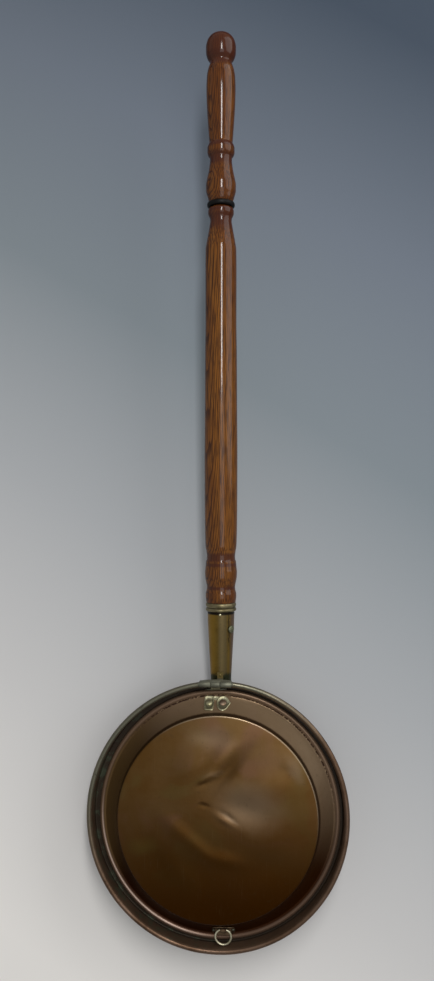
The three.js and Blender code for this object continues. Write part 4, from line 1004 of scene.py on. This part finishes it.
saddle_middle = (RING_X, -SADDLE_RADIUS)
ear_layers = [(share, GAP + lift * CURL_SHEET) for share, lift in EAR]
pad_places = np.linspace(ring_pivot[1] + PAD_START, -SADDLE_RADIUS - SADDLE_HALF[1], PAD_ROWS)
pad_bed = (RING_WIRE + GAP) / np.cos(RING_TILT)
pad_top = ring_pivot[2] - (ring_pivot[1] - pad_places) * np.tan(RING_TILT) - pad_bed
pad_x = RING_X + PAD_SHARES * RING_RADIUS
pad_floor = np.stack([cove_seat(pad_x, np.full_like(pad_x, y), GAP)[:, 2] for y in pad_places])
pad_crest = pad_top[:, None] - PAD_ROUNDING * np.abs(PAD_SHARES) ** 6
pad_crest = np.maximum(pad_crest, pad_floor + PAD_LEAST)
pad_loops = np.stack(np.broadcast_arrays(
    np.r_[pad_x, pad_x[::-1]], pad_places[:, None], np.concatenate([pad_crest, pad_floor[:, ::-1]], 1),
), -1)
saddle_brass = plain_metal("saddle_brass", (0.060, 0.036, 0.020), (0.15, 0.098, 0.055), 0.40, clouds=140.0)
curl_ends = (-CURL_LENGTH / 2, CURL_LENGTH / 2)
curl_outline = tube(RING_WIRE + GAP + CURL_SHEET, RING_WIRE + GAP, *curl_ends, 0.0002)
saddle = add_piece("ring_saddle_plate", [
    plate_skin(squared_outline(saddle_middle, *SADDLE_HALF), saddle_middle, ear_layers, cove_seat),
    skin(pad_loops),
    turned(curl_outline, ring_pivot, (1, 0, 0), 28, joined=True),
], saddle_brass, 45)
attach(saddle, "lid")
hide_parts("ring_saddle")

for side, sign in {"left": -1, "right": 1}.items():
    x = RING_X + sign * SADDLE_RIVETS / 2
    y = -np.sqrt(SADDLE_RADIUS**2 - (x - LID_X) ** 2)
    seat = cove_seat(x, y, GAP + CURL_SHEET)
    rivet_skin = turned(domed(*SADDLE_PIN), seat, cove_normal(x, y), 24)
    made = add_piece(f"saddle_pin_{side}", [rivet_skin], aged_brass, 50)
    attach(made, "lid")
    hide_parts(f"saddle_rivet_{side}")

# ---------------------------------------------------------------- handle socket
# Tapered brass tube rolled with a lap seam and brazed to a saddle foot, which three copper
# rivets hold to the pan's side; a moulded collar closes its mouth.
SOCKET_WALL = 0.0016
SOCKET_SIDES = 120
SOCKET_ROWS = 60
SEAM_ANGLE = np.radians(41)
SEAM_STEP = 0.00035
SEAM_FADE = 0.5
SEAM_DEPTH = 0.0005
SEAM_HALF_TURN = 0.035
CRACK_X = HANDLE_X + 0.0113
FOOT_HALF = (0.023, 0.020)
FOOT_MIDDLE = PAN_HEIGHT - 2 * ROLL_RADIUS - 0.0014 - FOOT_HALF[1]
FOOT_EDGE = [
    (0.02, 1.0), (0.2, 1.0), (0.4, 1.0), (0.6, 1.0), (0.8, 1.0), (0.95, 1.0), (0.985, 0.8), (1.0, 0.4),
    (0.99, 0.05), (0.97, 0.0), (0.8, 0.0), (0.6, 0.0), (0.4, 0.0), (0.2, 0.0), (0.02, 0.0),
]
FOOT_STEP = (0.0048, 0.0036)
FLARE = 0.0022
FLARE_REACH = 0.0018
RIVET_SPREAD = 0.017
RIVET_INSET = 0.0066
OUTER_HEAD = (0.002, 0.0036, 0.0016, 0.0020)
INNER_HEAD = (0.002, 0.0034, 0.0011, 0.0020)


def foot_radius(height):
    """Distance from the pan's axis to the foot's inner face: up the tapered wall, then a smooth
    step out under the ledge to the upper wall."""
    rise = np.clip((height - SHEET) / (LEDGE_HEIGHT - SHEET), 0, 1)
    lower = WALL_RADIUS - LEDGE_WIDTH - WALL_TAPER * (1 - rise)
    below_ledge, step_height = FOOT_STEP
    step = np.clip((height - (LEDGE_HEIGHT - below_ledge)) / step_height, 0, 1)
    return lower + LEDGE_WIDTH * step * step * (3 - 2 * step) + SHEET + GAP


def foot_seat(x, height, lift):
    """Point on the foot at a sideways place and a height."""
    radius = foot_radius(height) + lift
    return np.stack([x, np.sqrt(radius**2 - x**2), height], -1)


def past_root(place):
    """How far a place lies along the handle from its root, in metres."""
    return scalar("SUBTRACT", along(place, tuple(HANDLE_ALONG)), float(HANDLE_ROOT @ HANDLE_ALONG))


def socket_metal():
    """Olive brass: golden at the left, reddish at the right and black in the seam. Low down where the tube
    meets the pan it is green patina with painted shade, dark green to nearly black, and painted shade makes
    it nearly black under the collar."""
    finish, shader, place = new_material("socket_brass", metallic=0.85)
    marks = tarnished(place, 45.0, 420.0)
    colour = mixed(marks["Clouds"], (0.105, 0.062, 0.010), (0.160, 0.100, 0.020))
    side = along(place, (1, 0, 0))
    colour = over(colour, (0.110, 0.085, 0.042), band(side, HANDLE_X + 0.003, 0.0030, 0.0040), 0.7)
    left = between(side, HANDLE_X - 0.003, HANDLE_X - 0.009)
    colour = over(colour, (0.235, 0.135, 0.018), left, 0.7)
    right = between(side, HANDLE_X + 0.010, HANDLE_X + 0.014)
    colour = over(colour, (0.130, 0.080, 0.058), right, 0.75)
    reach = past_root(place)
    # Green patina with painted shade: dark green to nearly black low down, where the tube meets the pan
    # under the rolled rim.
    low = between(scalar("MULTIPLY_ADD", marks["Height"], 0.012, reach), 0.019, 0.014)
    colour = over(colour, (0.018, 0.025, 0.012), low, 0.9)
    # Painted shade: nearly black at the tube's end under the collar.
    mouth = between(reach, SOCKET_LENGTH - 0.0022, SOCKET_LENGTH - 0.0004)
    colour = over(colour, (0.012, 0.009, 0.006), mouth)
    crack_side = scalar("MULTIPLY_ADD", noise(place, 260.0, 3.0), 0.0022, side)
    crack = band(crack_side, CRACK_X, 0.00025, 0.0005)
    colour = over(colour, (0.016, 0.012, 0.008), crack, between(reach, 0.040, 0.048), 0.85)
    colour = over(colour, (0.03, 0.022, 0.010), marks["Specks"], 0.5)
    feed(shader, base_color=colour, roughness=spread(marks["Clouds"], 0.48, 0.36))
    set_bump(shader, marks["Height"], 0.25, 0.0005)
    return finish


around = np.linspace(0, 2 * np.pi, SOCKET_SIDES, endpoint=False)
ring_out = np.cos(around)[:, None] * HANDLE_UP + np.sin(around)[:, None] * HANDLE_ACROSS
root_points = HANDLE_ROOT + socket_radius(0.0) * ring_out
root_start = (foot_seat(root_points[:, 0], root_points[:, 2], 0.0006)[:, 1] - RIM_RADIUS) / HANDLE_ALONG[1]
outer_place = root_start + np.linspace(0, 1, SOCKET_ROWS)[:, None] * (SOCKET_LENGTH - root_start)
from_seam = np.angle(np.exp(1j * (around - SEAM_ANGLE)))
lap = np.where(from_seam > 0, np.exp(-from_seam / SEAM_FADE), 0.0) * SEAM_STEP
groove = np.exp(-((from_seam / SEAM_HALF_TURN) ** 2)) * SEAM_DEPTH
outer_radius = socket_radius(outer_place) + lap - groove
outer_radius = outer_radius + FLARE * np.exp(-(outer_place - root_start) / FLARE_REACH)
inner_radius = socket_radius(outer_place) - SOCKET_WALL
place_all = np.vstack([outer_place, outer_place[::-1]])
radius_all = np.vstack([outer_radius, inner_radius[::-1]])
tube_rows = HANDLE_ROOT + place_all[..., None] * HANDLE_ALONG + radius_all[..., None] * ring_out
foot_middle = (HANDLE_X, FOOT_MIDDLE)
foot_layers = [(share, lift * BRASS) for share, lift in FOOT_EDGE]
socket = add_piece("socket_tube", [
    skin(tube_rows, joined=True),
    plate_skin(squared_outline(foot_middle, *FOOT_HALF, 4.0), foot_middle, foot_layers, foot_seat),
], socket_metal(), 60)
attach(socket, "root")
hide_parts("handle_socket")

# Collar's closed outline: place along the handle and radius
COLLAR = [
    (0.0818, 0.0145), (0.0818, 0.0158), (0.0832, 0.0158), (0.0834, 0.0174), (0.0840, 0.0182),
    (0.0850, 0.0187), (0.0861, 0.0186), (0.0870, 0.0180), (0.0874, 0.0175), (0.0878, 0.0173),
    (0.0882, 0.0176), (0.0888, 0.0181), (0.0900, 0.0184), (0.0917, 0.0184), (0.0928, 0.0181),
    (0.0935, 0.0176), (0.0938, 0.0170), (0.0938, 0.0145),
]
COLLAR_LINE = 0.0878
COLLAR_NECK = 0.0832


def collar_dirt_and_shade(place, colour):
    """Dirt in the fine groove between the bead and the lip, and painted shade in the neck under the bead."""
    reach = past_root(place)
    colour = over(colour, (0.04, 0.03, 0.015), band(reach, COLLAR_LINE, 0.0002, 0.0006), 0.8)
    return over(colour, (0.015, 0.011, 0.007), between(reach, COLLAR_NECK + 0.0006, COLLAR_NECK))


collar_metal = plain_metal(
    "collar_brass", (0.095, 0.078, 0.036), (0.215, 0.180, 0.100), 0.38, clouds=90.0, tint=collar_dirt_and_shade,
)
collar_skin = turned(np.array(COLLAR), HANDLE_ROOT, HANDLE_ALONG, 96, joined=True)
collar = add_piece("moulded_collar", [collar_skin], collar_metal, 50)
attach(collar, "root")
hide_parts("socket_collar")

foot_rivets = [
    (HANDLE_X - RIVET_SPREAD, PAN_HEIGHT - 2 * ROLL_RADIUS - RIVET_INSET),
    (HANDLE_X + RIVET_SPREAD, PAN_HEIGHT - 2 * ROLL_RADIUS - RIVET_INSET),
    (HANDLE_X, FOOT_MIDDLE - FOOT_HALF[1] + RIVET_INSET),
]
for number, (x, height) in enumerate(foot_rivets, 1):
    seat = foot_seat(np.array(x), np.array(height), BRASS)
    normal = np.array([seat[0], seat[1], 0.0]) / np.hypot(seat[0], seat[1])
    made = add_piece(f"foot_rivet_{number}", [
        turned(domed(*OUTER_HEAD), seat, normal, 28),
        turned(domed(*INNER_HEAD), seat - normal * (BRASS + GAP + SHEET + 0.0001), -normal, 28),
    ], copper_rivet, 60)
    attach(made, "root")
    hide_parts(f"socket_rivet_{number}")

# ---------------------------------------------------------------- nails through the socket
# A domed nail in the seam and a small bright pin under the collar hold the wooden tenon.
NAIL_DEPTH = 0.009
nail_brass = plain_metal("nail_brass", (0.070, 0.075, 0.045), (0.200, 0.195, 0.120), 0.40, clouds=300.0)
NAILS = [
    # node, name, place along the handle, turn, (shank, head, height), finish, slot
    ("side_nail", "seam_nail", 0.0625, 52, (0.0013, 0.0047, 0.0028), nail_brass, "aged_brass"),
    ("front_pin", "collar_pin", 0.0806, 0, (0.0009, 0.0014, 0.0009), bright_brass, "bright_brass"),
]
for node, name, place, degrees, sizes, finish, slot_name in NAILS:
    angle = np.radians(degrees)
    normal = np.cos(angle) * HANDLE_UP + np.sin(angle) * HANDLE_ACROSS
    seat = HANDLE_ROOT + place * HANDLE_ALONG + (socket_radius(place) + GAP) * normal
    made = add_piece(name, [turned(domed(*sizes, NAIL_DEPTH), seat, normal, 28)], finish, 60)
    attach(made, "root")
    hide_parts(node)

# ---------------------------------------------------------------- turned wood
# Ash or oak turned between centres, stained and polished: the shaft with its tenon in the
# socket, a blackened joint ring, and the grip with its ball end, screwed on with a stud.
# Turned outlines: place along the handle and radius, in millimetres
SHAFT = [
    (94.1, 17.8), (97, 18.3), (101, 18.7), (105, 18.5), (108, 17.7), (112, 17.2), (119, 18.3),
    (124, 19.2), (130, 19.5), (136, 19.0), (141, 18.5), (144, 18.2), (145.5, 17.3), (150, 17.2),
    (154, 17.6), (163, 18.9), (174, 19.3), (189, 19.6), (225, 19.9), (272, 20.0), (330, 19.6),
    (395, 19.3), (433, 18.8), (500, 18.9), (521, 18.6), (524, 18.4), (527, 17.9), (535, 16.5),
    (543, 15.0), (550, 13.8), (556, 13.0), (559, 13.3), (562, 14.6), (565, 15.6), (568, 15.6),
    (571, 14.4), (571.8, 13.0),
]
GRIP = [
    (578.8, 13.9), (581, 15.0), (586, 16.5), (592, 18.0), (599, 18.2), (607, 16.9), (614, 15.4),
    (622, 14.0), (629, 13.3), (632.5, 13.6), (635, 15.4), (639, 16.5), (644, 16.5), (647.5, 15.4),
    (650, 14.2), (653, 14.3), (661, 14.9), (676, 16.0), (690, 16.9), (705, 17.5), (716, 17.7),
    (730, 17.2), (738, 15.9), (744, 14.0), (747.5, 13.0), (749, 13.8), (752.5, 16.3), (758.5, 18.0),
    (765.5, 18.2), (772, 17.0), (777.5, 13.7), (780.7, 9.0), (782.1, 4.4), (782.5, 0.8),
]
JOINT_RING = [
    (572.3, 4.4), (572.3, 14.8), (572.8, 16.0), (574.0, 16.7), (575.3, 16.8), (576.8, 16.6),
    (577.8, 15.9), (578.3, 14.6), (578.3, 4.4),
]
# Darker stretches of the wood along the handle, in metres: middle, half length, soft edge
STAINED = [
    (0.1120, 0.0008, 0.0020), (0.1490, 0.0030, 0.0040), (0.1400, 0.0010, 0.0020),
    (0.5560, 0.0050, 0.0120), (0.5680, 0.0015, 0.0020), (0.6290, 0.0030, 0.0080),
    (0.6460, 0.0020, 0.0020), (0.7480, 0.0040, 0.0060), (0.7700, 0.0150, 0.0060),
]
WOOD_SIDES = 72
TENON_START = 0.094 - 0.060
BORE = 0.0043


def turned_line(points, step):
    """Smooth line through (place, radius) points: cubic pieces whose slope at a point is the
    harmonic mean of the slopes on both sides, or level where those differ in sign."""
    place, radius = np.array(points).T / 1000
    run = np.diff(place)
    slope = np.diff(radius) / run
    product = slope[:-1] * slope[1:]
    total = np.where(product > 0, slope[:-1] + slope[1:], 1.0)
    tangent = np.r_[slope[0], np.where(product > 0, 2 * product / total, 0.0), slope[-1]]
    at = np.linspace(place[0], place[-1], int((place[-1] - place[0]) / step) + 2)
    i = np.clip(np.searchsorted(place, at, "right") - 1, 0, len(run) - 1)
    t = (at - place[i]) / run[i]
    low = radius[i] * (1 + 2 * t) * (1 - t) ** 2 + tangent[i] * run[i] * t * (1 - t) ** 2
    high = radius[i + 1] * t**2 * (3 - 2 * t) - tangent[i + 1] * run[i] * t**2 * (1 - t)
    return np.stack([at, low + high], 1)


def grain_group():
    """Coarse open-pored wood cut from a plank: growth rings about a pith line well outside the
    turning, bent by slow noise, with darker late wood and short pores along the grain."""
    group, source = open_group("wood_grain", ["Rings", "Pores"])
    place = source["Vector"]
    stretched = mapped(place, Scale=(1.0, 0.10, 1.0))
    bend = scalar("MULTIPLY_ADD", noise(stretched, 60.0, 3.0), 0.0052, -0.0026)
    pith = mapped(place, Location=(-0.052, 0, 0.030), Rotation=(0.030, 0.0, 0.024))
    radius = vector("LENGTH", vector("MULTIPLY", pith, (1, 0, 1)), result="Value")
    ring = scalar("FRACT", scalar("MULTIPLY", scalar("ADD", radius, bend), source["Rings"]))
    pores = noise(mapped(place, Scale=(1.0, 0.035, 1.0)), source["Pores"], 2.0, Roughness=0.55)
    patches = noise(stretched, 38.0, 3.0, Roughness=0.6)
    return close_group(group, {
        "Late Wood": times(between(ring, 0.45, 0.88), between(ring, 1.0, 0.90)),
        "Pores": between(pores, 0.47, 0.62),
        "Patches": between(patches, 0.38, 0.66),
    })


def polished_wood():
    """Stained wood under a hard polish, darker where stain and dirt gathered in the turnings."""
    finish, shader, place = new_material(
        "turned_wood", specular_ior_level=0.0, coat_weight=0.55, coat_roughness=0.13, coat_ior=1.5,
    )
    in_wood = mapped(place, "TEXTURE", Location=tuple(HANDLE_ROOT), Rotation=(HANDLE_RAKE, 0, 0))
    sockets = {"Vector": in_wood, "Rings": 600.0, "Pores": 1100.0}
    grain = put("ShaderNodeGroup", sockets, node_tree=grain_group()).outputs
    colour = mixed(grain["Patches"], (0.096, 0.028, 0.0030), (0.165, 0.060, 0.0075))
    colour = over(colour, (0.030, 0.007, 0.0012), grain["Late Wood"], 0.85)
    colour = over(colour, (0.022, 0.006, 0.002), grain["Pores"], 0.75)
    reach = along(in_wood, (0, 1, 0))
    for stretch in STAINED:
        colour = over(colour, (0.040, 0.009, 0.004), band(reach, *stretch), 0.75)
    feed(shader, base_color=colour, roughness=spread(grain["Pores"], 0.36, 0.55))
    set_bump(shader, grain["Pores"], 0.15, -0.0003)
    return finish


wood = polished_wood()
tenon_places = np.linspace(TENON_START, SOCKET_LENGTH, 10)
shaft_line = np.vstack([
    [(TENON_START, 0.001)],
    np.stack([tenon_places, socket_radius(tenon_places) - SOCKET_WALL - GAP], 1),
    [(0.0938, 0.0140)],
    turned_line(SHAFT, 0.0010),
    [(0.5720, BORE), (0.5580, BORE), (0.5580, 0.001)],
])
shaft_skin = turned(shaft_line, HANDLE_ROOT, HANDLE_ALONG, WOOD_SIDES)
shaft = add_piece("turned_shaft", [shaft_skin], wood, 60)
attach(shaft, "root")
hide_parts("handle_shaft")

grip_bore = [(0.5926, 0.001), (0.5926, BORE), (0.5786, BORE)]
grip_line = np.vstack([grip_bore, turned_line(GRIP, 0.0008)])
grip_skin = turned(grip_line, HANDLE_ROOT, HANDLE_ALONG, WOOD_SIDES)
grip = add_piece("turned_grip", [grip_skin], wood, 60)
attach(grip, "root")
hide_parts("grip_section")

black_wood = plain_metal(
    "black_wood", (0.002, 0.0018, 0.0016), (0.006, 0.005, 0.0045), 0.40,
    metallic=0.0, specular_ior_level=0.12,
)
ring_line = dense(np.array(JOINT_RING) / 1000, 0.0004)
ring_skin = turned(ring_line, HANDLE_ROOT, HANDLE_ALONG, WOOD_SIDES, joined=True)
joint_ring = add_piece("black_ring", [ring_skin], black_wood, 60)
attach(joint_ring, "root")
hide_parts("joint_ring")

# The stud lies hidden in the joint, so the frame's own stays, in the same wood.
frame["nodes"]["joint_stud"].data.materials.clear()
frame["nodes"]["joint_stud"].data.materials.append(wood)

# ---------------------------------------------------------------- size
sizes = {"cad": [list(corner) for corner in cad_box], "visual": [list(corner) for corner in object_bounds()]}
